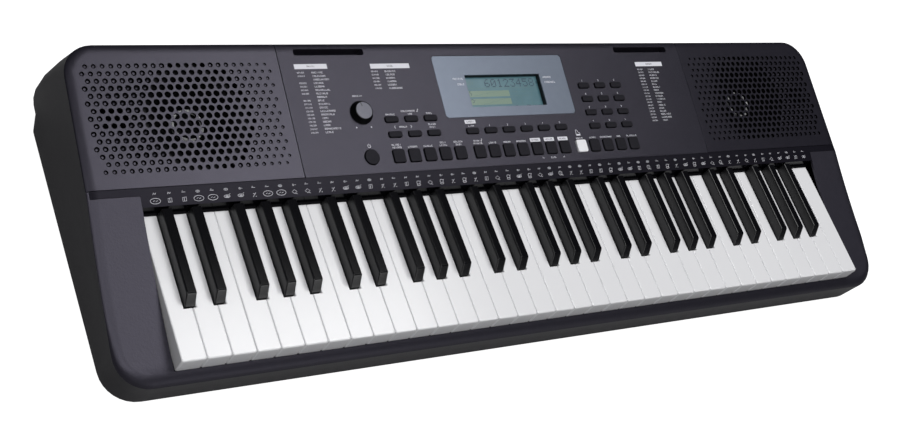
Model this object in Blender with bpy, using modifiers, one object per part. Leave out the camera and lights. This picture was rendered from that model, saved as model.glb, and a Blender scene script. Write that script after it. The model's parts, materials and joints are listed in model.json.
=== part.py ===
"""Portable keyboard with 61 keys, speakers at both ends, a display and a panel of push buttons.

Metres, +Z up. X runs along the keys with the bass end at -X, and Y runs from the player to the rear.
The origin is on the table under the middle of the case. Heights of the case and keys are counted from
the top of the white keys, and places along Y from their front edge.
"""
import math

import bmesh
import bpy
from mathutils import Matrix, Vector

# Fits
FIT_GAP = 0.0003
SLIDE_GAP = 0.0004

# Reach of a cutter past the piece that it cuts, and through the panel
CUT_REACH = 0.05
CUT_DEPTH = 0.01

# Keys
OCTAVES = 5
SPLIT_OCTAVE = 3
WHITE_PITCH = 0.0235
WHITE_LENGTH = 0.1405
WHITE_SKIRT_FRONT = 0.0185
WHITE_SKIRT_REAR = 0.0142
WHITE_WALL = 0.0014
WHITE_TOP_WALL = 0.0024
WHITE_EDGE_RADIUS = 0.002
WHITE_CORNER = 0.0012
KEY_GAP = 0.0009
HEAD_LENGTH = 0.049
BLACK_SIDE_GAP = 0.0009
BLACK_FRONT_GAP = 0.001
BLACK_WIDTH_BASE = 0.0106
BLACK_WIDTH_TOP = 0.0099
BLACK_HEIGHT = 0.012
BLACK_RAMP = 0.0074
BLACK_DEPTH_BELOW = 0.008
BLACK_WALL = 0.0015
BLACK_CORNER = 0.0008
BLACK_ROUND = 0.0011
BLACK_OFFSETS = {0: -0.00235, 1: 0.00235, 3: -0.0034, 4: 0.0, 5: 0.0034}
KEY_UNDER_LIP = 0.0085

# Key hinges
PIVOT_BEHIND_KEYS = 0.0495
HINGE_HALF_DEPTH = 0.007
ARM_THICKNESS = 0.0036
ARM_GAP = 0.0006
ARM_WIDTH_WHITE = 0.008
ARM_WIDTH_BLACK = 0.006
LOWEST_ARM_DROP = 0.014

# Case
KEY_TOP_Z = 0.0655
FOOT_HEIGHT = 0.003
FOOT_RADIUS = 0.0105
FOOT_INSET_X = 0.040
FOOT_INSET_FRONT = 0.020
FOOT_INSET_REAR = 0.046
SLOT_SIDE_GAP = 0.0012
CHEEK_WIDTH = 0.0458
FRONT_RAIL = 0.0098
LIP_GAP = 0.0025
CAP_REAR_GAP = 0.0005
STRIP_OVER_KEYS = 0.0177
STRIP_OVER_CHEEKS = 0.0077
STRIP_THICKNESS = 0.001
STRIP_SLOPE = 0.155
LIP_THICKNESS = 0.002
LIP_CLEARANCE = 0.0011
LEDGE_REACH = 0.0135
PANEL_DEPTH = 0.1359
PANEL_FRONT_RISE = 0.0158
PANEL_SLOPE = 0.181
REAR_BULGE = 0.0034
RAIL_DROP = 0.017
CHEEK_CROWN = -0.35
FRONT_CORNER = 0.032
REAR_CORNER = 0.030
SEAM_DROP_FRONT = 0.0081
SEAM_DROP_REAR = 0.0026
SEAM_RISE_LENGTH = 0.045
EDGE_RINGS = ((0.0, 1.0), (0.0006, 0.72), (0.0020, 0.46), (0.0042, 0.22), (0.0070, 0.06), (0.0098, 0.0))
SIDE_FLARE = 0.0042
SIDE_UPRIGHT_TO = 0.054
SIDE_LEAN_TO = 0.092
TUB_CORNERS = ((0.3, 0.018), (0.65, 0.010), (1.0, 0.007))
UPPER_WALL = 0.003
LOWER_WALL = 0.003
FRONT_LEAN = 0.0030
BOTTOM_EDGE = 0.0026
BULGE_LEVEL = 0.030
NOTCH_DEPTH = 0.020
NOTCH_REACH = 0.0245
NOTCH_CHAMFER = 0.0085
BULGE_LEAN = 0.12
CORNER_STEPS = 8
SEAM_X = 0.2595
SEAM_WIDTH = 0.0005

# Panel fittings, with S measured up the sloping panel from its front edge
BUTTON_PROUD = 0.002
BUTTON_CORNER = 0.0013
BUTTON_CROWN = 0.0004
WEB_THICKNESS = 0.0015
WEB_MARGIN = 0.0018
LARGE_BUTTON = (0.0133, 0.0138)
SMALL_BUTTON = (0.0152, 0.0063)
PAD_BUTTON = (0.0147, 0.0064)
LARGE_ROW_S = 0.0161
SMALL_ROW_S = 0.0389
UPPER_SMALL_ROW_S = 0.0549
LARGE_PITCH = 0.0184
SMALL_PITCH = 0.0230
PAD_PITCH_X = 0.0228
PAD_PITCH_S = 0.01575
PAD_FIRST_S = 0.0386
MIXER_COLUMNS = 3
STYLE_BUTTONS = 5
MEMORY_BUTTONS = 6
VOICE_BUTTONS = 7
FUNCTION_BUTTONS = 4
PAD_ROWS = 4
PAD_COLUMNS = 3
LEFT_SMALL_X = -0.1500
LEFT_LARGE_X = -0.1518
MIDDLE_SMALL_X = -0.0569
MIDDLE_LARGE_X = -0.0544
WHITE_BUTTON_X = 0.0788
RIGHT_LARGE_X = 0.0973
PAD_X = 0.1050
KNOB_X = -0.1824
KNOB_S = 0.0631
KNOB_RADIUS = 0.0123
KNOB_SKIRT = 0.0014
KNOB_BODY_RADIUS = 0.0098
KNOB_TOP_RADIUS = 0.0091
KNOB_HEIGHT = 0.0066
KNOB_EDGE = 0.0006
KNOB_TAPER = 0.0018
KNOB_ROOF = 0.0014
KNOB_LIFT = 0.0004
POT_WIDTH = 0.012
SHAFT_RADIUS = 0.003
SHAFT_SIDE_GAP = 0.00035
SHAFT_HOLE_GAP = 0.0006
POWER_X = -0.1826
POWER_S = 0.0166
POWER_RADIUS = 0.0080
POWER_FLANGE = 0.0096
DISPLAY_HALF_WIDTH = 0.084
DISPLAY_S = (0.0542, 0.1228)
DISPLAY_THICKNESS = 0.0015
DISPLAY_LEDGE = 0.004
DISPLAY_CORNER = 0.0025
LCD_HALF_WIDTH = 0.0485
LCD_S = (0.0651, 0.1010)
LCD_FRAME = 0.006
LCD_GLASS_DEPTH = 0.0058
LCD_GLASS_THICKNESS = 0.0012
REST_SLOT_X = (0.163, 0.2415)
REST_SLOT_S = (0.1247, 0.1316)
REST_SLOT_CORNER = 0.0015
REST_POCKET_FLOOR_Z = 0.095
REST_POCKET_WALL = 0.0014
BOARD_DEPTH = 0.009
BOARD_THICKNESS = 0.0016
PANEL_BOARD_X = (-0.205, 0.166)
PANEL_BOARD_S = (0.008, 0.096)

# Loudspeakers
SPEAKER_X = 0.355
SPEAKER_S = 0.066
SPEAKER_RADIUS = 0.052
SPEAKER_FLANGE = 0.002
SPEAKER_RIM = 0.005
SURROUND = 0.003
CONE_SINK = 0.011
DUST_CAP_RADIUS = 0.016
SPEAKER_CONE_DEPTH = 0.019
MAGNET_RADIUS = 0.030
MAGNET_DEPTH = 0.014

# Inside the case
FRAME_PLATE_DROP = 0.031
FRAME_WALL = 0.002
FRAME_FRONT = 0.018
CONTACT_FRONT = 0.090
CONTACT_REAR = 0.130
RUBBER_HEIGHT = 0.0080
RUBBER_MARGIN = 0.008
RUBBER_TAPER = 0.004
MAIN_BOARD_DROP = 0.020
MAIN_BOARD_X = (-0.135, 0.070)
MAIN_BOARD_DEPTH = 0.066
MAIN_BOARD_REAR_GAP = 0.003
BOSS_RADIUS = 0.004
BOSS_INSET = 0.010

# Rear sockets
JACK_BODY = (0.012, 0.015, 0.011)
JACK_NOSE_RADIUS = 0.0050
JACK_BORE_RADIUS = 0.0033
JACK_BORE_DEPTH = 0.0145
JACK_SINK = 0.0003
JACK_STAND_OFF = 0.0012
PIN_SETBACK = 0.0015
SOCKET_X = {"dc_inlet": -0.115, "sustain_jack": -0.070, "headphone_jack": -0.030, "usb_socket": 0.040}
DC_PIN_RADIUS = 0.0010
USB_OPENING = (0.0085, 0.0078)
USB_TONGUE = (0.0056, 0.0032)
USB_WALL = 0.0012

# Batteries
BATTERY_X = 0.110
BATTERY_REAR_INSET = 0.030
BATTERY_INNER = (0.094, 0.053, 0.0172)
BATTERY_BOX_WALL = 0.0015
COVER_LAP = 0.003
COVER_THICKNESS = 0.0017
COVER_TRAVEL = 0.014

# Places worked out from the sizes above
WHITE_COUNT = 7 * OCTAVES + 1
KEYBED_WIDTH = WHITE_COUNT * WHITE_PITCH
SLOT_HALF_WIDTH = KEYBED_WIDTH / 2 + SLOT_SIDE_GAP
HALF_WIDTH = SLOT_HALF_WIDTH + CHEEK_WIDTH
CASE_DEPTH = FRONT_RAIL + WHITE_LENGTH + LIP_GAP + STRIP_OVER_KEYS + PANEL_DEPTH + REAR_BULGE
FRONT_Y = -CASE_DEPTH / 2
KEY_FRONT_Y = FRONT_Y + FRONT_RAIL
KEY_REAR_Y = KEY_FRONT_Y + WHITE_LENGTH + KEY_UNDER_LIP
LIP_Y = KEY_FRONT_Y + WHITE_LENGTH + LIP_GAP
PANEL_FRONT_Y = LIP_Y + STRIP_OVER_KEYS
STRIP_CHEEK_Y = PANEL_FRONT_Y - STRIP_OVER_CHEEKS
LEDGE_Y = PANEL_FRONT_Y - LEDGE_REACH
REAR_Y = PANEL_FRONT_Y + PANEL_DEPTH
PIVOT_Y = KEY_FRONT_Y + WHITE_LENGTH + PIVOT_BEHIND_KEYS
PANEL_FRONT_Z = KEY_TOP_Z + PANEL_FRONT_RISE
PANEL_ANGLE = math.atan(PANEL_SLOPE)
STRIP_CHEEK_Z = PANEL_FRONT_Z - STRIP_SLOPE * STRIP_OVER_CHEEKS
UNDERSIDE_Z = FOOT_HEIGHT + FIT_GAP
FLOOR_Z = UNDERSIDE_Z + LOWER_WALL
RAIL_TOP_Z = KEY_TOP_Z - LOWEST_ARM_DROP - FIT_GAP
MAIN_BOARD_Z = KEY_TOP_Z - MAIN_BOARD_DROP
PANEL = Matrix.Translation((0, PANEL_FRONT_Y, PANEL_FRONT_Z)) @ Matrix.Rotation(PANEL_ANGLE, 4, "X")


def clear_scene():
    for thing in list(bpy.data.objects):
        bpy.data.objects.remove(thing)


def new_collection(name):
    collection = bpy.data.collections.new(name)
    bpy.context.scene.collection.children.link(collection)
    return collection


clear_scene()
PARTS = new_collection("portable_keyboard")
CUTTERS = new_collection("cutters")


def material(name, colour, roughness, metallic=0.0):
    made = bpy.data.materials.new(name)
    made.use_nodes = True
    shader = made.node_tree.nodes["Principled BSDF"]
    shader.inputs["Base Color"].default_value = (*colour, 1.0)
    shader.inputs["Roughness"].default_value = roughness
    shader.inputs["Metallic"].default_value = metallic
    return made


CASE_GREY = material("case_grey", (0.075, 0.070, 0.088), 0.45)
CASE_BLACK = material("case_black", (0.020, 0.020, 0.022), 0.40)
STRIP_BLACK = material("strip_black", (0.030, 0.028, 0.038), 0.25)
DISPLAY_BLUE = material("display_blue_grey", (0.23, 0.28, 0.33), 0.35, 0.4)
LCD_GREEN = material("lcd_green", (0.24, 0.40, 0.36), 0.15)
KEY_WHITE = material("key_white", (0.80, 0.80, 0.82), 0.20)
KEY_BLACK = material("key_black", (0.010, 0.010, 0.011), 0.22)
RUBBER_BLACK = material("rubber_black", (0.016, 0.016, 0.017), 0.65)
RUBBER_WHITE = material("rubber_white", (0.78, 0.78, 0.80), 0.5)
RUBBER_GREY = material("rubber_grey", (0.25, 0.25, 0.26), 0.7)
KNOB_BLACK = material("knob_black", (0.012, 0.012, 0.013), 0.35)
FRAME_GREY = material("frame_grey", (0.11, 0.11, 0.12), 0.55)
BOARD_GREEN = material("board_green", (0.03, 0.12, 0.05), 0.45)
SPEAKER_BLACK = material("speaker_black", (0.02, 0.02, 0.02), 0.6)
METAL = material("metal", (0.55, 0.55, 0.56), 0.3, 1.0)


def finish_mesh(name, bm, finish, collection=None):
    bmesh.ops.recalc_face_normals(bm, faces=bm.faces)
    mesh = bpy.data.meshes.new(name)
    bm.to_mesh(mesh)
    bm.free()
    if finish:
        mesh.materials.append(finish)
    made = bpy.data.objects.new(name, mesh)
    (collection or PARTS).objects.link(made)
    return made


def cutter(name, bm):
    made = finish_mesh(name, bm, None, CUTTERS)
    made.display_type = "WIRE"
    made.hide_render = True
    return made


def boolean(target, operand, operation):
    modifier = target.modifiers.new(operand.name, "BOOLEAN")
    modifier.operation = operation
    modifier.solver = "EXACT"
    modifier.object = operand


def set_origin(made, frame):
    """Move the object's own origin to a frame without moving its surface."""
    made.data.transform(frame.inverted())
    made.matrix_world = frame


def add_box(bm, low, high, frame=Matrix()):
    low, high = Vector(low), Vector(high)
    place = Matrix.Translation((low + high) / 2) @ Matrix.Diagonal((*(high - low), 1))
    bmesh.ops.create_cube(bm, size=1, matrix=frame @ place)


def add_cylinder(bm, radius, low, high, frame=Matrix(), sides=24):
    """A cylinder along the frame's Z axis, from height low to height high."""
    place = frame @ Matrix.Translation((0, 0, (low + high) / 2))
    bmesh.ops.create_cone(bm, cap_ends=True, segments=sides, radius1=radius, radius2=radius,
                          depth=high - low, matrix=place)


def add_loft(bm, rings, strip_caps=False):
    """Skin closed rings of points. Strip caps join the left and right points of a mirrored outline."""
    loops = [[bm.verts.new(point) for point in ring] for ring in rings]
    count = len(loops[0])
    for lower, upper in zip(loops, loops[1:]):
        for i in range(count):
            j = (i + 1) % count
            bm.faces.new((lower[i], lower[j], upper[j], upper[i]))
    for loop in (loops[0], loops[-1]):
        if not strip_caps:
            bm.faces.new(loop)
            continue
        for i in range(count // 2 - 1):
            bm.faces.new((loop[i], loop[i + 1], loop[count - 2 - i], loop[count - 1 - i]))


def add_profile(bm, points, x_low, x_high):
    """A side profile of (y, z) points, extruded along X."""
    add_loft(bm, [[(x, y, z) for y, z in points] for x in (x_low, x_high)])


def chamfered(centre, size, corner):
    """A rectangle with its four corners cut, as (x, y) points."""
    half_x, half_y = size[0] / 2, size[1] / 2
    points = []
    for sx, sy in ((1, -1), (1, 1), (-1, 1), (-1, -1)):
        near_x = (centre[0] + sx * (half_x - corner), centre[1] + sy * half_y)
        near_y = (centre[0] + sx * half_x, centre[1] + sy * (half_y - corner))
        points += [near_x, near_y] if sx * sy < 0 else [near_y, near_x]
    return points


def add_panel_block(bm, centre, size, corner, levels):
    """A block on the sloping panel; levels are (height above the panel, inset) from the bottom up."""
    rings = []
    for height, inset in levels:
        outline = chamfered(centre, (size[0] - 2 * inset, size[1] - 2 * inset), corner)
        rings.append([PANEL @ Vector((x, s, height)) for x, s in outline])
    add_loft(bm, rings)


def turned(name, profile, frame, finish, steps=32):
    """A turned shape: (radius, height) points from the axis, down the outer side, back to the axis."""
    bm = bmesh.new()
    verts = [bm.verts.new((radius, 0, height)) for radius, height in profile]
    for start, end in zip(verts, verts[1:]):
        bm.edges.new((start, end))
    mesh = bpy.data.meshes.new(name)
    bm.to_mesh(mesh)
    bm.free()
    mesh.materials.append(finish)
    made = bpy.data.objects.new(name, mesh)
    PARTS.objects.link(made)
    made.matrix_world = frame
    screw = made.modifiers.new("turn", "SCREW")
    screw.steps = steps
    screw.render_steps = steps
    screw.use_merge_vertices = True
    screw.merge_threshold = 0.00001
    screw.use_smooth_shade = True
    return made


def panel_place(x, s):
    return PANEL @ Matrix.Translation((x, s, 0))


# The case: one outline with round corners, and a top that rises from the front rail to the rear edge


def top_z(y):
    if y >= PANEL_FRONT_Y:
        return PANEL_FRONT_Z + PANEL_SLOPE * (y - PANEL_FRONT_Y)
    if y >= STRIP_CHEEK_Y:
        return STRIP_CHEEK_Z + STRIP_SLOPE * (y - STRIP_CHEEK_Y)
    rise = STRIP_CHEEK_Z - (KEY_TOP_Z - RAIL_DROP)
    t = (y - KEY_FRONT_Y) / (STRIP_CHEEK_Y - KEY_FRONT_Y)
    share = t + CHEEK_CROWN * t * (1 - t) if t > 0 else t * (1 + CHEEK_CROWN)
    return KEY_TOP_Z - RAIL_DROP + rise * share


def side_stations():
    """Places along the side, between the corner arcs, where the top changes slope."""
    first = FRONT_Y + FRONT_CORNER + 0.006
    steps = 6
    rising = [first + (STRIP_CHEEK_Y - first) * i / steps for i in range(steps)]
    return rising + [STRIP_CHEEK_Y, PANEL_FRONT_Y]


def side_flare(z):
    """How far a side stands out at a level: it is upright at first, then leans in to the half width."""
    return SIDE_FLARE * min(1.0, max(0.0, (SIDE_LEAN_TO - z) / (SIDE_LEAN_TO - SIDE_UPRIGHT_TO)))


def case_ring(height, front_y=FRONT_Y, rear_y=REAR_Y, inset=0.0, rear_corner=REAR_CORNER):
    """One ring around the case; height is a level, or a function of y."""
    front, rear = front_y + inset, rear_y - inset
    front_radius, rear_radius = FRONT_CORNER - inset, rear_corner - inset
    angles = [math.pi / 2 * i / CORNER_STEPS for i in range(CORNER_STEPS + 1)]
    side = [(front_radius * math.sin(angle) - front_radius, front + front_radius - front_radius * math.cos(angle))
            for angle in angles]
    side += [(0, y) for y in side_stations()]
    side += [(rear_radius * math.cos(angle) - rear_radius, rear - rear_radius + rear_radius * math.sin(angle))
             for angle in angles]
    right = []
    for x, y in side:
        z = height(y) if callable(height) else height
        right.append((HALF_WIDTH - inset + side_flare(z) + x, y, z))
    return right + [(-x, y, z) for x, y, z in reversed(right)]


def below_top(drop):
    return lambda y: top_z(y) - drop


def seam_drop(y):
    """How far the seam lies below the top: the rounding is deepest along the front rail."""
    share = min(1.0, max(0.0, (y - KEY_FRONT_Y) / SEAM_RISE_LENGTH))
    return SEAM_DROP_FRONT + (SEAM_DROP_REAR - SEAM_DROP_FRONT) * share


def seam_level(y):
    return top_z(y) - seam_drop(y)


def outer_rings():
    """The rounded edge of the upper case, from its rim up to the flat top."""
    def level(share):
        return lambda y: top_z(y) - (seam_drop(y) - FIT_GAP) * share

    return [case_ring(level(share), inset=inset) for inset, share in EDGE_RINGS]


def upper_shell(name):
    bm = bmesh.new()
    inner_top = case_ring(below_top(UPPER_WALL), inset=EDGE_RINGS[-1][0] + 0.0005)
    inner_rim = case_ring(lambda y: seam_level(y) + FIT_GAP, inset=UPPER_WALL)
    add_loft(bm, [inner_top, inner_rim] + outer_rings(), strip_caps=True)
    return finish_mesh(name, bm, CASE_GREY)


def case_form(name, depth):
    """The solid form of the case top, used to shape the strip that lies flush in it."""
    bm = bmesh.new()
    add_loft(bm, [case_ring(below_top(SEAM_DROP_FRONT + depth))] + outer_rings(), strip_caps=True)
    return cutter(name, bm)


# Lower case: a deep tub with a leaning front wall and a bulging rear wall above a hand notch


def rear_wall_y(z):
    """The outside of the rear wall between the bulge and the seam."""
    bulge_z = KEY_TOP_Z - BULGE_LEVEL
    seam_z = seam_level(REAR_Y)
    return REAR_Y + REAR_BULGE * (seam_z - z) / (seam_z - bulge_z)


def wall_level(share):
    """A level on the tub's wall, from the seam (0) down to the bulge (1), which follows the top's slope."""
    return lambda y: seam_level(y) * (1 - share) + (KEY_TOP_Z - BULGE_LEVEL) * share


def lower_case():
    notch_z = UNDERSIDE_Z + NOTCH_DEPTH
    bulge_z = KEY_TOP_Z - BULGE_LEVEL
    bulge_y = REAR_Y + REAR_BULGE
    floor_rear = bulge_y - NOTCH_REACH
    wall = LOWER_WALL
    lean = FRONT_LEAN
    bottom_front = FRONT_Y + lean
    corner = TUB_CORNERS[-1][1]
    seam_z = seam_level(REAR_Y)

    def foot_ring(height, front, rear, inset=0.0):
        return case_ring(height, front, rear, inset, corner)

    def wall_rings(inset):
        rings = []
        for share, radius in reversed(TUB_CORNERS):
            height = wall_level(share)
            rear = rear_wall_y(seam_z + (bulge_z - seam_z) * share)
            rings.append(case_ring(height, FRONT_Y + lean * BULGE_LEAN * share, rear, inset, radius))
        return rings

    outer = [
        foot_ring(UNDERSIDE_Z, bottom_front, floor_rear, BOTTOM_EDGE),
        foot_ring(UNDERSIDE_Z + BOTTOM_EDGE * 0.3, bottom_front, floor_rear, BOTTOM_EDGE * 0.3),
        foot_ring(UNDERSIDE_Z + BOTTOM_EDGE, bottom_front, floor_rear),
        foot_ring(notch_z - 0.001, FRONT_Y + lean * 0.5, floor_rear + NOTCH_CHAMFER),
        foot_ring(notch_z, FRONT_Y + lean * 0.5, bulge_y - 0.007),
        foot_ring(notch_z + 0.0035, FRONT_Y + lean * 0.4, bulge_y - 0.002),
        *wall_rings(0.0),
        case_ring(seam_level),
    ]
    inner = [
        case_ring(seam_level, inset=wall),
        *reversed(wall_rings(wall)),
        foot_ring(notch_z + wall + 0.0005, FRONT_Y + lean * 0.5, bulge_y - 0.002, wall),
        foot_ring(notch_z + wall, FRONT_Y + lean * 0.5, floor_rear + NOTCH_CHAMFER, wall),
        foot_ring(FLOOR_Z, bottom_front, floor_rear, wall),
    ]
    bm = bmesh.new()
    add_loft(bm, outer + inner, strip_caps=True)
    made = finish_mesh("lower_case", bm, CASE_BLACK)

    bosses = bmesh.new()
    for x, y, low in boss_places():
        top = MAIN_BOARD_Z - BOARD_THICKNESS - FIT_GAP
        add_cylinder(bosses, BOSS_RADIUS, low - wall / 2, top, Matrix.Translation((x, y, 0)), sides=10)
    boolean(made, cutter("board_bosses", bosses), "UNION")

    recess = bmesh.new()
    low, high = cover_box(FIT_GAP)
    add_box(recess, (low[0], low[1] - COVER_TRAVEL, UNDERSIDE_Z - wall), high)
    for x in SOCKET_X:
        add_socket_hole(recess, x)
    boolean(made, cutter("cover_recess_and_socket_holes", recess), "DIFFERENCE")

    bay = bmesh.new()
    bay_low, bay_high = battery_bay()
    add_box(bay, (bay_low[0], bay_low[1], UNDERSIDE_Z - wall), (bay_high[0], bay_high[1], FLOOR_Z + wall))
    boolean(made, cutter("battery_opening", bay), "DIFFERENCE")
    return made


def boss_places():
    """The posts under the main board: two stand on the floor and two on the step above the notch."""
    notch_floor = UNDERSIDE_Z + NOTCH_DEPTH + LOWER_WALL
    low, high = main_board_box()
    places = []
    for x in (low[0] + BOSS_INSET, high[0] - BOSS_INSET):
        places.append((x, low[1] + BOSS_INSET, FLOOR_Z))
        places.append((x, high[1] - BOSS_INSET / 2, notch_floor))
    return places


def main_board_box():
    rear = rear_wall_y(MAIN_BOARD_Z) - LOWER_WALL - MAIN_BOARD_REAR_GAP
    return ((MAIN_BOARD_X[0], rear - MAIN_BOARD_DEPTH, MAIN_BOARD_Z - BOARD_THICKNESS),
            (MAIN_BOARD_X[1], rear, MAIN_BOARD_Z))


def battery_bay():
    """The plan of the space for the batteries, as low and high corners."""
    rear = REAR_Y - BATTERY_REAR_INSET
    low = (BATTERY_X, rear - BATTERY_INNER[1], FLOOR_Z + FIT_GAP)
    return low, (low[0] + BATTERY_INNER[0], rear, low[2] + BATTERY_INNER[2])


def cover_box(extra):
    """The battery cover's plan and thickness, grown sideways and up by a clearance."""
    low, high = battery_bay()
    lap = COVER_LAP + extra
    return ((low[0] - lap, low[1] - lap, UNDERSIDE_Z),
            (high[0] + lap, high[1] + lap, UNDERSIDE_Z + COVER_THICKNESS + extra))


# Upper case: cheeks, front rail, ledge under the strip and the centre panel, in one moulding


def button_rows():
    """Each bank of buttons as its name, button size and list of (x, s) centres."""
    def row(x, s, pitch, count):
        return [(x + pitch * i, s) for i in range(count)]

    mixer = []
    for s in (UPPER_SMALL_ROW_S, SMALL_ROW_S):
        mixer += row(LEFT_SMALL_X, s, SMALL_PITCH, MIXER_COLUMNS)
    pad = []
    for i in range(PAD_ROWS):
        pad += row(PAD_X, PAD_FIRST_S + PAD_PITCH_S * i, PAD_PITCH_X, PAD_COLUMNS)
    return [
        ("mixer_button_bank", SMALL_BUTTON, mixer),
        ("style_button_bank", LARGE_BUTTON, row(LEFT_LARGE_X, LARGE_ROW_S, LARGE_PITCH, STYLE_BUTTONS)),
        ("memory_button_bank", SMALL_BUTTON,
         row(MIDDLE_SMALL_X, SMALL_ROW_S, SMALL_PITCH, MEMORY_BUTTONS)),
        ("voice_button_bank", LARGE_BUTTON,
         row(MIDDLE_LARGE_X, LARGE_ROW_S, LARGE_PITCH, VOICE_BUTTONS)),
        ("piano_button", LARGE_BUTTON, [(WHITE_BUTTON_X, LARGE_ROW_S)]),
        ("function_button_bank", LARGE_BUTTON,
         row(RIGHT_LARGE_X, LARGE_ROW_S, LARGE_PITCH, FUNCTION_BUTTONS)),
        ("number_pad", PAD_BUTTON, pad),
    ]


def add_panel_box(bm, x_pair, s_pair, low, high):
    add_box(bm, (x_pair[0], s_pair[0], low), (x_pair[1], s_pair[1], high), PANEL)


def upper_case():
    made = upper_shell("upper_case")
    reach = CUT_REACH
    high = top_z(REAR_Y) + reach

    regions = bmesh.new()
    add_box(regions, (-SLOT_HALF_WIDTH, KEY_FRONT_Y - FIT_GAP, 0), (SLOT_HALF_WIDTH, LEDGE_Y, high))
    for side in (-1, 1):
        xs = sorted((side * (SEAM_X - SEAM_WIDTH / 2), side * (HALF_WIDTH + reach)))
        add_box(regions, (xs[0], PANEL_FRONT_Y - SEAM_WIDTH / 2, 0), (xs[1], REAR_Y + reach, high))
    boolean(made, cutter("key_slot_and_end_panels", regions), "DIFFERENCE")

    rebates = bmesh.new()
    seat = STRIP_THICKNESS + FIT_GAP
    rear = PANEL_FRONT_Y
    add_profile(rebates, [(STRIP_CHEEK_Y, top_z(STRIP_CHEEK_Y) - seat), (rear, top_z(rear) - seat),
                          (rear, top_z(rear) + reach), (STRIP_CHEEK_Y, top_z(rear) + reach)],
                -HALF_WIDTH - reach, HALF_WIDTH + reach)
    size = (2 * DISPLAY_HALF_WIDTH + 2 * FIT_GAP, DISPLAY_S[1] - DISPLAY_S[0] + 2 * FIT_GAP)
    middle = (0, (DISPLAY_S[0] + DISPLAY_S[1]) / 2)
    depth = DISPLAY_THICKNESS + FIT_GAP
    add_panel_block(rebates, middle, size, DISPLAY_CORNER, [(-depth, 0), (CUT_DEPTH, 0)])
    boolean(made, cutter("strip_and_display_rebates", rebates), "DIFFERENCE")

    pockets = bmesh.new()
    slot_y = [(PANEL @ Vector((0, s, 0))).y for s in REST_SLOT_S]
    pocket_y = (slot_y[0] - REST_POCKET_WALL, slot_y[1] + REST_POCKET_WALL)
    low = REST_POCKET_FLOOR_Z - REST_POCKET_WALL
    skin = [(y, top_z(y) - UPPER_WALL / 2) for y in pocket_y]
    for side in (-1, 1):
        xs = sorted((side * (REST_SLOT_X[0] - REST_POCKET_WALL), side * (REST_SLOT_X[1] + REST_POCKET_WALL)))
        add_profile(pockets, [(pocket_y[0], low), (pocket_y[1], low), skin[1], skin[0]], *xs)
    boolean(made, cutter("music_rest_pockets", pockets), "UNION")

    holes = bmesh.new()
    front = LEDGE_Y - CUT_DEPTH
    back = STRIP_CHEEK_Y + STRIP_THICKNESS
    ledge = [(front, top_z(front) - seat), (back, top_z(back) - seat), (back, high), (front, high)]
    add_profile(holes, ledge, -SLOT_HALF_WIDTH, SLOT_HALF_WIDTH)
    through = [(-CUT_DEPTH, 0), (CUT_DEPTH, 0)]
    for _, button, centres in button_rows():
        grown = (button[0] + 2 * SLIDE_GAP, button[1] + 2 * SLIDE_GAP)
        for centre in centres:
            add_panel_block(holes, centre, grown, BUTTON_CORNER, through)
    add_panel_box(holes, (-DISPLAY_HALF_WIDTH + DISPLAY_LEDGE, DISPLAY_HALF_WIDTH - DISPLAY_LEDGE),
                  (DISPLAY_S[0] + DISPLAY_LEDGE, DISPLAY_S[1] - DISPLAY_LEDGE), -CUT_DEPTH, CUT_DEPTH)
    slot_size = (REST_SLOT_X[1] - REST_SLOT_X[0], slot_y[1] - slot_y[0])
    for side in (-1, 1):
        outline = chamfered((side * sum(REST_SLOT_X) / 2, sum(slot_y) / 2), slot_size, REST_SLOT_CORNER)
        add_loft(holes, [[(x, y, z) for x, y in outline] for z in (REST_POCKET_FLOOR_Z, high)])
    for radius, x, s in ((SHAFT_RADIUS + SHAFT_HOLE_GAP, KNOB_X, KNOB_S),
                         (POWER_RADIUS + SLIDE_GAP, POWER_X, POWER_S)):
        add_cylinder(holes, radius, -CUT_DEPTH, CUT_DEPTH, panel_place(x, s), sides=32)
    boolean(made, cutter("button_holes_and_slots", holes), "DIFFERENCE")
    return made


def end_panel(name, side):
    """A loudspeaker cover: the end of the case top behind the strip, out to the round corner."""
    made = upper_shell(name)
    region = bmesh.new()
    xs = sorted((side * (SEAM_X + SEAM_WIDTH / 2), side * (HALF_WIDTH + CUT_REACH)))
    add_box(region, (xs[0], PANEL_FRONT_Y + SEAM_WIDTH / 2, 0),
            (xs[1], REAR_Y + CUT_REACH, top_z(REAR_Y) + CUT_REACH))
    boolean(made, cutter(name + "_region", region), "INTERSECT")
    return made


def key_strip():
    """The printed strip behind the keys, with the lip that hangs down to just above them."""
    reach = CUT_REACH
    front = STRIP_CHEEK_Y + FIT_GAP
    rear = PANEL_FRONT_Y - FIT_GAP
    high = top_z(rear) + reach
    bm = bmesh.new()
    add_profile(bm, [(front, top_z(front) - STRIP_THICKNESS), (rear, top_z(rear) - STRIP_THICKNESS),
                     (rear, high), (front, high)], -HALF_WIDTH - reach, HALF_WIDTH + reach)
    made = finish_mesh("key_strip", bm, STRIP_BLACK)

    lip = bmesh.new()
    bottom = KEY_TOP_Z + LIP_CLEARANCE
    back = LIP_Y + LIP_THICKNESS
    join = front + LIP_THICKNESS
    add_profile(lip, [(LIP_Y, bottom), (back, bottom), (back, top_z(back) - STRIP_THICKNESS),
                      (join, top_z(join) - STRIP_THICKNESS * 0.99), (join, high), (LIP_Y, high)],
                -SLOT_HALF_WIDTH + FIT_GAP, SLOT_HALF_WIDTH - FIT_GAP)
    boolean(made, cutter("strip_lip", lip), "UNION")
    boolean(made, case_form("case_top_form", reach), "INTERSECT")
    return made


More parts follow.
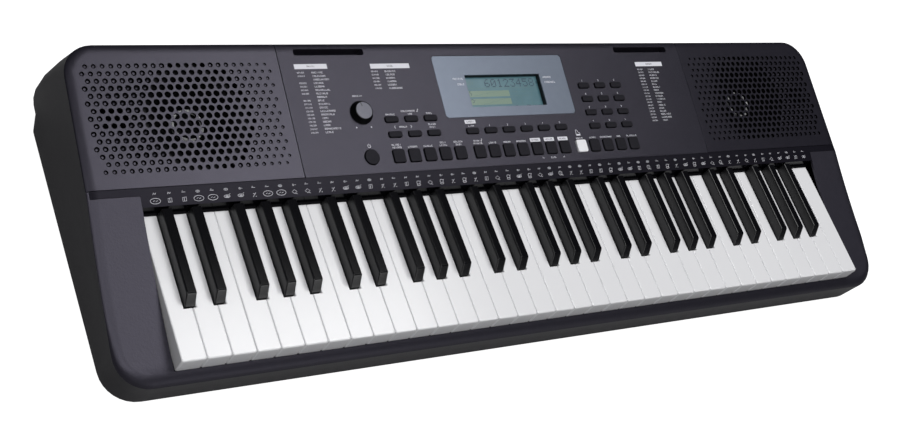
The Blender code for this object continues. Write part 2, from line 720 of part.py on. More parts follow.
def display_panel():
    """The blue-grey plate around the display, flush in its rebate."""
    size = (2 * DISPLAY_HALF_WIDTH, DISPLAY_S[1] - DISPLAY_S[0])
    bm = bmesh.new()
    add_panel_block(bm, (0, sum(DISPLAY_S) / 2), size, DISPLAY_CORNER, [(-DISPLAY_THICKNESS, 0), (0, 0)])
    made = finish_mesh("display_panel", bm, DISPLAY_BLUE)
    window = bmesh.new()
    add_panel_box(window, (-LCD_HALF_WIDTH, LCD_HALF_WIDTH), LCD_S, -CUT_DEPTH, CUT_DEPTH)
    boolean(made, cutter("display_window", window), "DIFFERENCE")
    return made


def lcd_module():
    """The display's black tray: its walls line the window down to the glass."""
    top = -DISPLAY_THICKNESS - FIT_GAP
    bottom = -BOARD_DEPTH + FIT_GAP
    bm = bmesh.new()
    add_panel_box(bm, (-LCD_HALF_WIDTH - LCD_FRAME, LCD_HALF_WIDTH + LCD_FRAME),
                  (LCD_S[0] - LCD_FRAME, LCD_S[1] + LCD_FRAME), bottom, top)
    made = finish_mesh("lcd_module", bm, KNOB_BLACK)
    tray = bmesh.new()
    floor = -LCD_GLASS_DEPTH - LCD_GLASS_THICKNESS - FIT_GAP
    add_panel_box(tray, (-LCD_HALF_WIDTH, LCD_HALF_WIDTH), LCD_S, floor, 0.0)
    boolean(made, cutter("lcd_tray", tray), "DIFFERENCE")
    return made


def lcd_glass():
    bm = bmesh.new()
    gap = FIT_GAP
    add_panel_box(bm, (-LCD_HALF_WIDTH + gap, LCD_HALF_WIDTH - gap), (LCD_S[0] + gap, LCD_S[1] - gap),
                  -LCD_GLASS_DEPTH - LCD_GLASS_THICKNESS, -LCD_GLASS_DEPTH)
    return finish_mesh("lcd_glass", bm, LCD_GREEN)


def panel_board():
    bm = bmesh.new()
    add_panel_box(bm, PANEL_BOARD_X, PANEL_BOARD_S, -BOARD_DEPTH - BOARD_THICKNESS, -BOARD_DEPTH)
    return finish_mesh("panel_board", bm, BOARD_GREEN)


# Push buttons: rubber caps on one web for each bank


def button_bank(name, button, centres):
    web_top = -UPPER_WALL - FIT_GAP
    web_bottom = web_top - WEB_THICKNESS
    xs = [x for x, _ in centres]
    ss = [s for _, s in centres]
    margin_x = button[0] / 2 + WEB_MARGIN
    margin_s = button[1] / 2 + WEB_MARGIN
    bm = bmesh.new()
    add_panel_box(bm, (min(xs) - margin_x, max(xs) + margin_x), (min(ss) - margin_s, max(ss) + margin_s),
                  web_bottom, web_top)
    finish = RUBBER_WHITE if name == "piano_button" else RUBBER_BLACK
    made = finish_mesh(name, bm, finish)
    caps = bmesh.new()
    levels = [(web_top - WEB_THICKNESS / 2, 0), (BUTTON_PROUD - BUTTON_CROWN, 0),
              (BUTTON_PROUD, BUTTON_CROWN)]
    for centre in centres:
        add_panel_block(caps, centre, button, BUTTON_CORNER, levels)
    boolean(made, cutter(name + "_caps", caps), "UNION")
    set_origin(made, panel_place(sum(xs) / len(xs), sum(ss) / len(ss)))
    return made


def power_button():
    flange_top = -UPPER_WALL - FIT_GAP
    profile = [
        (0, BUTTON_PROUD), (POWER_RADIUS - 2 * BUTTON_CROWN, BUTTON_PROUD),
        (POWER_RADIUS, BUTTON_PROUD - BUTTON_CROWN),
        (POWER_RADIUS, flange_top), (POWER_FLANGE, flange_top), (POWER_FLANGE, flange_top - WEB_THICKNESS),
        (0, flange_top - WEB_THICKNESS),
    ]
    return turned("power_button", profile, panel_place(POWER_X, POWER_S), RUBBER_BLACK)


def volume_knob():
    bore = SHAFT_RADIUS + SHAFT_SIDE_GAP
    roof = KNOB_HEIGHT - KNOB_ROOF
    skirt_top = KNOB_LIFT + KNOB_SKIRT
    profile = [
        (0, KNOB_HEIGHT), (KNOB_TOP_RADIUS, KNOB_HEIGHT), (KNOB_BODY_RADIUS, KNOB_HEIGHT - KNOB_EDGE),
        (KNOB_BODY_RADIUS + KNOB_TAPER, skirt_top), (KNOB_RADIUS, KNOB_LIFT + KNOB_SKIRT * 0.6),
        (KNOB_RADIUS, KNOB_LIFT), (bore, KNOB_LIFT), (bore, roof), (0, roof),
    ]
    return turned("volume_knob", profile, panel_place(KNOB_X, KNOB_S), KNOB_BLACK)


def volume_pot():
    """The volume control under the panel; its shaft stands up into the knob."""
    half = POT_WIDTH / 2
    top = -UPPER_WALL - FIT_GAP
    bm = bmesh.new()
    place = panel_place(KNOB_X, KNOB_S)
    add_box(bm, (-half, -half, -BOARD_DEPTH + FIT_GAP), (half, half, top), place)
    made = finish_mesh("volume_pot", bm, METAL)
    shaft = bmesh.new()
    add_cylinder(shaft, SHAFT_RADIUS, top - FIT_GAP, KNOB_HEIGHT - KNOB_ROOF - FIT_GAP, place, sides=16)
    boolean(made, cutter("pot_shaft", shaft), "UNION")
    return made


# Keys: hollow mouldings on arms that hinge on the rear rail


def white_edges(index):
    """The head's left and right edges, and the edges of the part between the black keys."""
    left = -KEYBED_WIDTH / 2 + WHITE_PITCH * index
    right = left + WHITE_PITCH
    degree = index % 7
    reach = BLACK_WIDTH_BASE / 2 + BLACK_SIDE_GAP
    head = (left + KEY_GAP / 2, right - KEY_GAP / 2)
    tail_left, tail_right = head
    if (degree - 1) % 7 in BLACK_OFFSETS and index > 0:
        tail_left = left + BLACK_OFFSETS[(degree - 1) % 7] + reach
    if degree in BLACK_OFFSETS and index < WHITE_COUNT - 1:
        tail_right = right + BLACK_OFFSETS[degree] - reach
    return head, (tail_left, tail_right)


def skirt_z(y):
    """The lower edge of a white key: deeper at its front than behind its head."""
    drop = WHITE_SKIRT_FRONT if y < KEY_FRONT_Y + HEAD_LENGTH / 2 else WHITE_SKIRT_REAR
    return KEY_TOP_Z - drop


def white_ring(index, inset, front_inset, height):
    head, tail = white_edges(index)
    front = KEY_FRONT_Y + front_inset
    shoulder = KEY_FRONT_Y + HEAD_LENGTH - inset
    rear = KEY_REAR_Y - inset
    left, right = head[0] + inset, head[1] - inset
    tail_left, tail_right = tail[0] + inset, tail[1] - inset
    points = [(left + WHITE_CORNER, front), (right - WHITE_CORNER, front), (right, front + WHITE_CORNER)]
    if tail[1] < head[1]:
        points += [(right, shoulder), (tail_right, shoulder)]
    points += [(tail_right, rear), (tail_left, rear)]
    if tail[0] > head[0]:
        points += [(tail_left, shoulder), (left, shoulder)]
    points.append((left, front + WHITE_CORNER))
    return [(x, y, height(y) if callable(height) else height) for x, y in points]


def add_white_key(bm, index):
    top = KEY_TOP_Z
    wall = WHITE_WALL
    radius = WHITE_EDGE_RADIUS
    add_loft(bm, [
        white_ring(index, wall, wall, top - WHITE_TOP_WALL),
        white_ring(index, wall, wall, skirt_z),
        white_ring(index, 0, 0, skirt_z),
        white_ring(index, 0, 0, top - radius),
        white_ring(index, radius * 0.08, radius * 0.3, top - radius * 0.3),
        white_ring(index, radius * 0.25, radius, top),
    ])


def black_centre(index):
    """The middle of the black key after a white key."""
    return -KEYBED_WIDTH / 2 + WHITE_PITCH * (index + 1) + BLACK_OFFSETS[index % 7]


def black_ring(centre, half, front, height, inset=0.0):
    corner = BLACK_CORNER
    rear = KEY_REAR_Y - inset
    return [(centre - half + corner, front, height), (centre + half - corner, front, height),
            (centre + half, front + corner, height), (centre + half, rear, height),
            (centre - half, rear, height), (centre - half, front + corner, height)]


def black_front():
    return KEY_FRONT_Y + HEAD_LENGTH + BLACK_FRONT_GAP


def add_black_key(bm, index):
    """The cap stops at the lip; behind it the moulding drops below the white keys' level."""
    centre = black_centre(index)
    base, top = BLACK_WIDTH_BASE / 2, BLACK_WIDTH_TOP / 2
    front = black_front()
    ramp = front + BLACK_RAMP
    low = KEY_TOP_Z - BLACK_DEPTH_BELOW
    high = KEY_TOP_Z + BLACK_HEIGHT
    wall = BLACK_WALL
    rings = [
        black_ring(centre, top - wall, ramp + wall, high - wall - BLACK_ROUND, wall),
        black_ring(centre, base - wall, front + wall, low, wall),
        black_ring(centre, base, front, low),
        black_ring(centre, base, front, KEY_TOP_Z),
        black_ring(centre, top, ramp - BLACK_ROUND * 0.7, high - BLACK_ROUND * 1.4),
        black_ring(centre, top - BLACK_ROUND * 0.35, ramp, high - BLACK_ROUND * 0.45),
        black_ring(centre, top - BLACK_ROUND, ramp + BLACK_ROUND, high),
    ]
    add_loft(bm, rings)


def cap_relief():
    """The space under and behind the lip, which no black key's cap may reach."""
    bm = bmesh.new()
    front = KEY_FRONT_Y + WHITE_LENGTH + CAP_REAR_GAP
    add_box(bm, (-HALF_WIDTH, front, KEY_TOP_Z), (HALF_WIDTH, REAR_Y, KEY_TOP_Z + CUT_REACH))
    return cutter("lip_relief", bm)


def arm_levels(level):
    """Heights of an arm: the lowest carries the C comb, the next the D comb, the top the black keys."""
    low = KEY_TOP_Z - LOWEST_ARM_DROP + level * (ARM_THICKNESS + ARM_GAP)
    return low, low + ARM_THICKNESS


def tail_centre(kind, index):
    if kind == "black":
        return black_centre(index)
    tail = white_edges(index)[1]
    return (tail[0] + tail[1]) / 2


def comb_plate(kind, indices, level):
    """Arms joined at the rear by a spine that hinges on the rail."""
    low, high = arm_levels(level)
    half = (ARM_WIDTH_BLACK if kind == "black" else ARM_WIDTH_WHITE) / 2
    front = KEY_REAR_Y - WHITE_WALL * 0.6
    spine_front, spine_rear = PIVOT_Y - HINGE_HALF_DEPTH, PIVOT_Y + HINGE_HALF_DEPTH
    points = []
    for place, index in enumerate(indices):
        centre = tail_centre(kind, index)
        if place > 0:
            points.append((centre - half, spine_front))
        points += [(centre - half, front), (centre + half, front)]
        if place < len(indices) - 1:
            points.append((centre + half, spine_front))
    last, first = points[-1][0], points[0][0]
    points += [(last, spine_rear), (first, spine_rear)]
    bm = bmesh.new()
    add_loft(bm, [[(x, y, z) for x, y in points] for z in (low, high)])
    return bm


def single_arm(kind, index, level):
    """The arm of a key that moves by itself, with a foot down to the rail."""
    low, high = arm_levels(level)
    foot = arm_levels(0)[0]
    centre = tail_centre(kind, index)
    half = (ARM_WIDTH_BLACK if kind == "black" else ARM_WIDTH_WHITE) / 2
    front = KEY_REAR_Y - WHITE_WALL * 0.6
    points = [(front, low)]
    if level > 0:
        points.append((PIVOT_Y - HINGE_HALF_DEPTH, low))
    points += [(PIVOT_Y - HINGE_HALF_DEPTH, foot), (PIVOT_Y + HINGE_HALF_DEPTH, foot),
               (PIVOT_Y + HINGE_HALF_DEPTH, high), (front, high)]
    bm = bmesh.new()
    add_profile(bm, points, centre - half, centre + half)
    return bm


def key_piece(name, kind, indices, level, relief):
    bm = bmesh.new()
    for index in indices:
        add_black_key(bm, index) if kind == "black" else add_white_key(bm, index)
    made = finish_mesh(name, bm, KEY_BLACK if kind == "black" else KEY_WHITE)
    if kind == "black":
        boolean(made, relief, "DIFFERENCE")
    arms = comb_plate(kind, indices, level) if len(indices) > 1 else single_arm(kind, indices[0], level)
    boolean(made, cutter(name + "_arms", arms), "UNION")
    low, high = arm_levels(level)
    centre = sum(tail_centre(kind, index) for index in indices) / len(indices)
    set_origin(made, Matrix.Translation((centre, PIVOT_Y, (low + high) / 2)))


def keys():
    names = ("c", "d", "e", "f", "g", "a", "b")
    relief = cap_relief()
    for octave in range(1, OCTAVES + 1):
        first = 7 * (octave - 1)
        prefix = "octave_%d" % octave
        if octave != SPLIT_OCTAVE:
            key_piece(prefix + "_white_comb_cegb", "white", [first + i for i in (0, 2, 4, 6)], 0, relief)
            key_piece(prefix + "_white_comb_dfa", "white", [first + i for i in (1, 3, 5)], 1, relief)
            key_piece(prefix + "_black_comb", "black", [first + i for i in BLACK_OFFSETS], 2, relief)
            continue
        for i, letter in enumerate(names):
            key_piece("%s_key_%s" % (prefix, letter), "white", [first + i], 0, relief)
            if i in BLACK_OFFSETS:
                key_piece("%s_key_%s_sharp" % (prefix, letter), "black", [first + i], 2, relief)
    key_piece("top_key_c", "white", [WHITE_COUNT - 1], 0, relief)


# Under the keys: the frame they hinge on, and the contact board with its rubber


def key_frame():
    plate = KEY_TOP_Z - FRAME_PLATE_DROP
    wall = FRAME_WALL
    floor = FLOOR_Z + FIT_GAP
    front = KEY_FRONT_Y + FRAME_FRONT
    rail_front, rail_rear = PIVOT_Y, PIVOT_Y + HINGE_HALF_DEPTH
    points = [
        (front, floor), (front + wall, floor), (front + wall, plate - wall), (rail_rear - wall, plate - wall),
        (rail_rear - wall, floor), (rail_rear, floor), (rail_rear, RAIL_TOP_Z), (rail_front, RAIL_TOP_Z),
        (rail_front, RAIL_TOP_Z - wall), (rail_rear - wall, RAIL_TOP_Z - wall), (rail_rear - wall, plate),
        (front, plate),
    ]
    bm = bmesh.new()
    add_profile(bm, points, -KEYBED_WIDTH / 2, KEYBED_WIDTH / 2)
    return finish_mesh("key_frame", bm, FRAME_GREY)


def contact_board():
    low = KEY_TOP_Z - FRAME_PLATE_DROP + FIT_GAP
    bm = bmesh.new()
    add_box(bm, (-KEYBED_WIDTH / 2, KEY_FRONT_Y + CONTACT_FRONT, low),
            (KEYBED_WIDTH / 2, KEY_FRONT_Y + CONTACT_REAR, low + BOARD_THICKNESS))
    return finish_mesh("contact_board", bm, BOARD_GREEN)


def contact_rubber():
    low = KEY_TOP_Z - FRAME_PLATE_DROP + BOARD_THICKNESS + 2 * FIT_GAP
    front = KEY_FRONT_Y + CONTACT_FRONT + RUBBER_MARGIN
    rear = KEY_FRONT_Y + CONTACT_REAR - RUBBER_MARGIN
    high = low + RUBBER_HEIGHT
    bm = bmesh.new()
    add_profile(bm, [(front, low), (rear, low), (rear - RUBBER_TAPER, high), (front + RUBBER_TAPER, high)],
                -KEYBED_WIDTH / 2, KEYBED_WIDTH / 2)
    return finish_mesh("contact_rubber", bm, RUBBER_GREY)


# Loudspeakers, main board, sockets, batteries and feet


def speaker(name, side):
    top = -UPPER_WALL - FIT_GAP
    flange = top - SPEAKER_FLANGE
    cone = flange - SPEAKER_CONE_DEPTH
    profile = [
        (0, top - CONE_SINK), (DUST_CAP_RADIUS * 0.75, top - CONE_SINK * 0.8),
        (DUST_CAP_RADIUS, top - CONE_SINK),
        (SPEAKER_RADIUS - SPEAKER_RIM - SURROUND, top - SPEAKER_FLANGE), (SPEAKER_RADIUS - SPEAKER_RIM, top),
        (SPEAKER_RADIUS, top), (SPEAKER_RADIUS, flange), (SPEAKER_RADIUS - SPEAKER_RIM, flange),
        (MAGNET_RADIUS, cone), (MAGNET_RADIUS, cone - MAGNET_DEPTH),
        (0, cone - MAGNET_DEPTH),
    ]
    return turned(name, profile, panel_place(side * SPEAKER_X, SPEAKER_S), SPEAKER_BLACK)


def main_board():
    bm = bmesh.new()
    add_box(bm, *main_board_box())
    return finish_mesh("main_board", bm, BOARD_GREEN)


def socket_place(name):
    """The socket's axis: Z points out of the rear wall, and its origin is at the wall's outside."""
    z = MAIN_BOARD_Z + FIT_GAP + JACK_BODY[2] / 2
    out = Matrix.Rotation(-math.pi / 2, 4, "X")
    return Matrix.Translation((SOCKET_X[name], rear_wall_y(z) - JACK_SINK, z)) @ out


def usb_shell():
    return (USB_OPENING[0] + 2 * USB_WALL, USB_OPENING[1] + 2 * USB_WALL)


def add_socket_hole(bm, name):
    place = socket_place(name)
    if name == "usb_socket":
        half_w, half_h = (size / 2 + FIT_GAP for size in usb_shell())
        add_box(bm, (-half_w, -half_h, -CUT_DEPTH), (half_w, half_h, CUT_DEPTH), place)
        return
    add_cylinder(bm, JACK_NOSE_RADIUS + FIT_GAP, -CUT_DEPTH, CUT_DEPTH, place, sides=20)


def socket(name):
    """A rear socket: a body on the main board, a nose through the wall, and its opening."""
    place = socket_place(name)
    half_x, half_z = JACK_BODY[0] / 2, JACK_BODY[2] / 2
    nose = LOWER_WALL + JACK_STAND_OFF
    bm = bmesh.new()
    add_box(bm, (-half_x, -half_z, -nose - JACK_BODY[1]), (half_x, half_z, -nose), place)
    made = finish_mesh(name, bm, KNOB_BLACK)
    front = bmesh.new()
    opening = bmesh.new()
    if name == "usb_socket":
        width, height = usb_shell()
        add_box(front, (-width / 2, -height / 2, -nose - FIT_GAP), (width / 2, height / 2, 0), place)
        half_w, half_h = USB_OPENING[0] / 2, USB_OPENING[1] / 2
        add_box(opening, (-half_w, -half_h, -JACK_BORE_DEPTH), (half_w, half_h, CUT_DEPTH), place)
    else:
        add_cylinder(front, JACK_NOSE_RADIUS, -nose - FIT_GAP, 0, place, sides=20)
        add_cylinder(opening, JACK_BORE_RADIUS, -JACK_BORE_DEPTH, CUT_DEPTH, place, sides=16)
    boolean(made, cutter(name + "_nose", front), "UNION")
    boolean(made, cutter(name + "_opening", opening), "DIFFERENCE")
    if name == "dc_inlet":
        pin = bmesh.new()
        add_cylinder(pin, DC_PIN_RADIUS, -JACK_BORE_DEPTH - FIT_GAP, -PIN_SETBACK, place, sides=10)
        boolean(made, cutter("dc_pin", pin), "UNION")
    if name == "usb_socket":
        tongue = bmesh.new()
        half_w, half_h = USB_TONGUE[0] / 2, USB_TONGUE[1] / 2
        add_box(tongue, (-half_w, -half_h, -JACK_BORE_DEPTH - FIT_GAP), (half_w, half_h, -PIN_SETBACK), place)
        boolean(made, cutter("usb_tongue", tongue), "UNION")
    return made


def battery_box():
    low, high = battery_bay()
    wall = BATTERY_BOX_WALL
    bm = bmesh.new()
    add_box(bm, (low[0] - wall, low[1] - wall, low[2]), (high[0] + wall, high[1] + wall, high[2] + wall))
    made = finish_mesh("battery_box", bm, FRAME_GREY)
    hollow = bmesh.new()
    add_box(hollow, (low[0], low[1], low[2] - wall), high)
    boolean(made, cutter("battery_hollow", hollow), "DIFFERENCE")
    return made


def battery_cover():
    bm = bmesh.new()
    low, high = cover_box(0)
    add_box(bm, low, high)
    return finish_mesh("battery_cover", bm, CASE_BLACK)


def feet():
    for side, end in ((-1, "left"), (1, "right")):
        for row, y in (("front", FRONT_Y + FOOT_INSET_FRONT), ("rear", REAR_Y - FOOT_INSET_REAR)):
            place = Matrix.Translation((side * (HALF_WIDTH - FOOT_INSET_X), y, 0))
            edge = 0.0008
            profile = [(0, FOOT_HEIGHT), (FOOT_RADIUS, FOOT_HEIGHT), (FOOT_RADIUS, edge),
                       (FOOT_RADIUS - edge, 0), (0, 0)]
            turned("%s_%s_foot" % (row, end), profile, place, RUBBER_BLACK, steps=20)


lower_case()
upper_case()
end_panel("left_speaker_cover", -1)
end_panel("right_speaker_cover", 1)
key_strip()
display_panel()
lcd_module()
lcd_glass()
panel_board()
for bank_name, bank_button, bank_centres in button_rows():
    button_bank(bank_name, bank_button, bank_centres)
power_button()
volume_knob()
volume_pot()
keys()
key_frame()
contact_board()
contact_rubber()
speaker("left_speaker", -1)
speaker("right_speaker", 1)
main_board()
for socket_name in SOCKET_X:
    socket(socket_name)
battery_box()
battery_cover()
feet()
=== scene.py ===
"""The looks of a portable keyboard with 61 keys, built on its fixed frame.

Metres, +Z up, in the frame's own axes: X along the keys with the bass end at -X, Y from the player to the
rear. Places on the sloping panel are (x, s, h): s is measured up the slope from the panel's front edge and h
is the height above its surface. Prints, turned profiles and clouds of points are given in millimetres.
"""
import json
import math
import random

import bmesh
import bpy
from mathutils import Matrix, Vector


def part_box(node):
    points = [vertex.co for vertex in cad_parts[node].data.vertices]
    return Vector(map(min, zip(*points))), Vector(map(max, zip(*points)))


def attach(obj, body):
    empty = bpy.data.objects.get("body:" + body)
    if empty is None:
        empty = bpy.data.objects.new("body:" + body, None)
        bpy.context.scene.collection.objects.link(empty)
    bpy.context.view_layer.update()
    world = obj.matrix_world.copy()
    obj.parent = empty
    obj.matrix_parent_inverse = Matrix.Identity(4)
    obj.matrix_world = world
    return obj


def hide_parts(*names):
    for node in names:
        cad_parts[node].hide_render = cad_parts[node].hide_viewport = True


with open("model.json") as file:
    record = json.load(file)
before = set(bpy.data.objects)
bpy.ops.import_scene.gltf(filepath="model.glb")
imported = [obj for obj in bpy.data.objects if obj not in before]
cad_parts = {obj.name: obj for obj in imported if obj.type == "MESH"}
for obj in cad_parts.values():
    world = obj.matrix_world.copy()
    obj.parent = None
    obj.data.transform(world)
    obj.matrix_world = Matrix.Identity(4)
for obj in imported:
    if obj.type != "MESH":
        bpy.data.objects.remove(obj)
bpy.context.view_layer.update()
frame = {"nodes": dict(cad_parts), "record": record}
NODES = frame["nodes"]
BODY_OF = {node: body for body, nodes in frame["record"]["behaviour"]["bodies"].items() for node in nodes}
MM = 0.001


# Studio: the camera stands where the photograph's camera stood, low and rolled, over a white table.
# One soft box hangs overhead and shines in the panel near the bass end. Two more light the keys from the
# left and the front, and a fourth puts a sheen along the front rail.

CAMERA_AT = Vector((-0.9022, -0.5684, 1.1160))
CAMERA_RIGHT = Vector((0.8249, -0.3307, 0.4584))
CAMERA_BACK = Vector((-0.5605, -0.3740, 0.7389))
CAMERA_LENS = 57.19
SENSOR_WIDTH = 36.0
VIEW_REACH = 50.0
FLOOR_REACH = 6.0
FLOOR_GREY = (0.30, 0.30, 0.305)
SKY_COLOUR = (0.9, 0.93, 1.0, 1)
SKY_STRENGTH = 0.04


def put(name, data, place=Matrix()):
    """A new object in the scene."""
    made = bpy.data.objects.new(name, data)
    bpy.context.scene.collection.objects.link(made)
    made.matrix_world = place
    return made


def new_piece(name, bm):
    """A new object that holds what a bmesh holds."""
    mesh = bpy.data.meshes.new(name)
    bm.to_mesh(mesh)
    bm.free()
    return put(name, mesh)


def add_camera():
    camera = bpy.data.cameras.new("camera")
    camera.lens = CAMERA_LENS
    camera.sensor_width = SENSOR_WIDTH
    camera.clip_end = VIEW_REACH
    back = CAMERA_BACK.normalized()
    up = back.cross(CAMERA_RIGHT).normalized()
    turn = Matrix((up.cross(back), up, back)).transposed()
    bpy.context.scene.camera = put("camera", camera, Matrix.Translation(CAMERA_AT) @ turn.to_4x4())


def add_soft_box(name, at, target, size, watts):
    light = bpy.data.lights.new(name, "AREA")
    light.shape = "RECTANGLE"
    light.size, light.size_y = size
    light.energy = watts
    aim = (Vector(target) - Vector(at)).to_track_quat("-Z", "Y")
    put(name, light, Matrix.Translation(at) @ aim.to_matrix().to_4x4())


def feed(node, inputs):
    """Set or link inputs of a node."""
    for key, value in inputs.items():
        if isinstance(value, bpy.types.NodeSocket):
            node.id_data.links.new(value, node.inputs[key])
        else:
            node.inputs[key].default_value = value


def add_node(tree, kind, inputs=None, **settings):
    """A node in a shader or geometry tree, with its settings, values and links."""
    made = tree.nodes.new(kind)
    for key, value in settings.items():
        setattr(made, key, value)
    feed(made, inputs or {})
    return made


def new_finish(name, roughness, **sockets):
    """An empty Principled material; plain sockets are set on the shader itself."""
    made = bpy.data.materials.new(name)
    made.use_nodes = True
    shader = made.node_tree.nodes["Principled BSDF"]
    feed(shader, {"Roughness": roughness})
    feed(shader, {key.replace("_", " "): value for key, value in sockets.items()})
    return made, made.node_tree, shader


def add_floor():
    bm = bmesh.new()
    corners = [(-1, -1), (1, -1), (1, 1), (-1, 1)]
    bm.faces.new([bm.verts.new((x * FLOOR_REACH, y * FLOOR_REACH, 0)) for x, y in corners])
    floor = new_piece("floor", bm)
    paint, tree, shader = new_finish("floor_white", 0.9, Base_Color=(*FLOOR_GREY, 1), Specular_IOR_Level=0.0,
                                     Emission_Color=(1, 1, 1, 1))
    feed(shader, {"Emission Strength": add_node(tree, "ShaderNodeLightPath").outputs["Is Camera Ray"]})
    floor.data.materials.append(paint)


def add_sky():
    world = bpy.data.worlds.new("studio")
    world.use_nodes = True
    feed(world.node_tree.nodes["Background"], {"Color": SKY_COLOUR, "Strength": SKY_STRENGTH})
    bpy.context.scene.world = world


add_camera()
add_floor()
add_sky()
add_soft_box("overhead", (0.67, 0.28, 2.0), (0.67, 0.281, 0.0), (1.05, 1.05), 26)
add_soft_box("left_side", (-0.9, -0.5, 1.9), (0.2, -0.05, 0.0), (1.2, 1.2), 22)
add_soft_box("front_fill", (-0.9, -2.1, 0.8), (0.0, 0.0, 0.05), (1.6, 0.8), 2)
add_soft_box("rail_shine", (0.55, -2.2, 0.55), (-0.2, -0.15, 0.04), (1.0, 1.0), 6)
bpy.context.scene.view_settings.view_transform = "Standard"


# Lower case: one deep tub of satin black plastic with a fine moulded grain. Its edges are softened the way
# a mould leaves them, and it rides with the rest of the case.

CASE = "case"
EDGE_SOFTNESS = 0.45 * MM
SHARP_ANGLE = math.radians(38)
BEVEL_ANGLE = math.radians(32)
FLAT_ANGLE = math.radians(0.4)
SAME_PLACE = 0.002 * MM


def new_tree(name, kind, inputs, outputs):
    """A node group; of its inputs, a number is a default value and a word is the kind of socket."""
    tree = bpy.data.node_groups.new(name, kind + "NodeTree")
    for key, value in inputs.items():
        number = {int: "Int", float: "Float"}.get(type(value))
        made = tree.interface.new_socket(key, in_out="INPUT", socket_type="NodeSocket" + (number or value))
        if number:
            made.default_value = value
    for key, value in outputs.items():
        tree.interface.new_socket(key, in_out="OUTPUT", socket_type="NodeSocket" + value)
    return tree, tree.nodes.new("NodeGroupInput").outputs, tree.nodes.new("NodeGroupOutput").inputs


def flow(tree, kind, inputs=None, **settings):
    """The first output of a new node."""
    return add_node(tree, kind, inputs, **settings).outputs[0]


def moulded_grain():
    """Spark-eroded mould texture: a fine height map, and a slow mottle for colour and gloss."""
    tree, given, result = new_tree(
        "moulded_grain", "Shader", {"Vector": "Vector", "Grain Size": 0.6 * MM, "Mottle Size": 9 * MM},
        {"Height": "Float", "Mottle": "Float"})
    layers = (("Height", "Grain Size", 3.0, 0.62), ("Mottle", "Mottle Size", 4.0, 0.55))
    for output, size, detail, roughness in layers:
        scale = flow(tree, "ShaderNodeMath", {0: 1.0, 1: given[size]}, operation="DIVIDE")
        noise = flow(tree, "ShaderNodeTexNoise", {
            "Vector": given["Vector"], "Scale": scale, "Detail": detail, "Roughness": roughness})
        tree.links.new(noise, result[output])
    return tree


GRAIN = moulded_grain()


def with_grain(tree, **sizes):
    """The height and the mottle of the moulded grain, on the piece's own coordinates."""
    inputs = {key.replace("_", " "): value for key, value in sizes.items()}
    place = add_node(tree, "ShaderNodeTexCoord").outputs["Object"]
    grain = add_node(tree, "ShaderNodeGroup", {"Vector": place, **inputs}, node_tree=GRAIN).outputs
    return grain["Height"], grain["Mottle"]


def mix_colours(tree, factor, first, second):
    mixed = add_node(tree, "ShaderNodeMix", {"Factor": factor, 6: (*first, 1), 7: (*second, 1)},
                     data_type="RGBA")
    return mixed.outputs[2]


def spread(tree, source, low, high, from_low=0.3, from_high=0.7):
    return flow(tree, "ShaderNodeMapRange", {
        "Value": source, "From Min": from_low, "From Max": from_high, "To Min": low, "To Max": high})


def bumped(tree, height, distance):
    return flow(tree, "ShaderNodeBump", {"Height": height, "Distance": distance, "Strength": 1.0})


def moulded_plastic(name, dark, light, roughness, grain_size=0.6 * MM, grain_depth=0.03 * MM, **sockets):
    """Moulded plastic: two close colours mottled together, a fine grain and a gloss that varies a little."""
    made, tree, shader = new_finish(name, roughness, **sockets)
    height, mottle = with_grain(tree, Grain_Size=grain_size)
    feed(shader, {"Base Color": mix_colours(tree, spread(tree, mottle, 0, 1), dark, light),
                  "Roughness": spread(tree, height, roughness - 0.05, roughness + 0.06),
                  "Normal": bumped(tree, height, grain_depth)})
    return made


def settled(piece):
    """Turn a piece with modifiers into a plain mesh."""
    bpy.context.view_layer.update()
    graph = bpy.context.evaluated_depsgraph_get()
    mesh = bpy.data.meshes.new_from_object(
        piece.evaluated_get(graph), preserve_all_data_layers=True, depsgraph=graph)
    piece.modifiers.clear()
    piece.data = mesh
    return piece


def even_normals(piece):
    """Smooth shading that keeps large flat faces flat and edges over the sharp angle crisp."""
    piece.data.polygons.foreach_set("use_smooth", [True] * len(piece.data.polygons))
    piece.data.set_sharp_from_angle(angle=SHARP_ANGLE)
    piece.modifiers.new("even", "WEIGHTED_NORMAL").keep_sharp = True
    return settled(piece)


def plain_copy(node):
    """A joined-up copy of a frame piece, with flat areas as single faces."""
    source = NODES[node].data
    bm = bmesh.new()
    verts = [bm.verts.new(vert.co) for vert in source.vertices]
    for polygon in source.polygons:
        bm.faces.new([verts[i] for i in polygon.vertices])
    bmesh.ops.remove_doubles(bm, verts=bm.verts, dist=SAME_PLACE)
    bmesh.ops.dissolve_degenerate(bm, edges=bm.edges, dist=SAME_PLACE)
    bmesh.ops.dissolve_limit(bm, angle_limit=FLAT_ANGLE, verts=bm.verts, edges=bm.edges)
    return new_piece(node + "_finished", bm)


def soften(piece, width, segments=2):
    bevel = piece.modifiers.new("soft_edges", "BEVEL")
    bevel.width = width
    bevel.segments = segments
    bevel.limit_method = "ANGLE"
    bevel.angle_limit = BEVEL_ANGLE
    bevel.use_clamp_overlap = True
    return settled(piece)


def mount(piece, finish, body=CASE, replaced=()):
    """Give a piece its finish and fix it to its body."""
    if finish is not None:
        piece.data.materials.clear()
        piece.data.materials.append(finish)
    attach(piece, body)
    if replaced:
        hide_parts(*replaced)
    return piece


def dressed(node, finish, width=EDGE_SOFTNESS, segments=2):
    """A frame piece with softened edges and even shading, in its place."""
    piece = even_normals(soften(plain_copy(node), width, segments))
    return mount(piece, finish, BODY_OF[node], [node])


TUB_BLACK = moulded_plastic("tub_black", (0.0190, 0.0182, 0.0215), (0.0225, 0.0215, 0.0250), 0.42)
dressed("lower_case", TUB_BLACK)


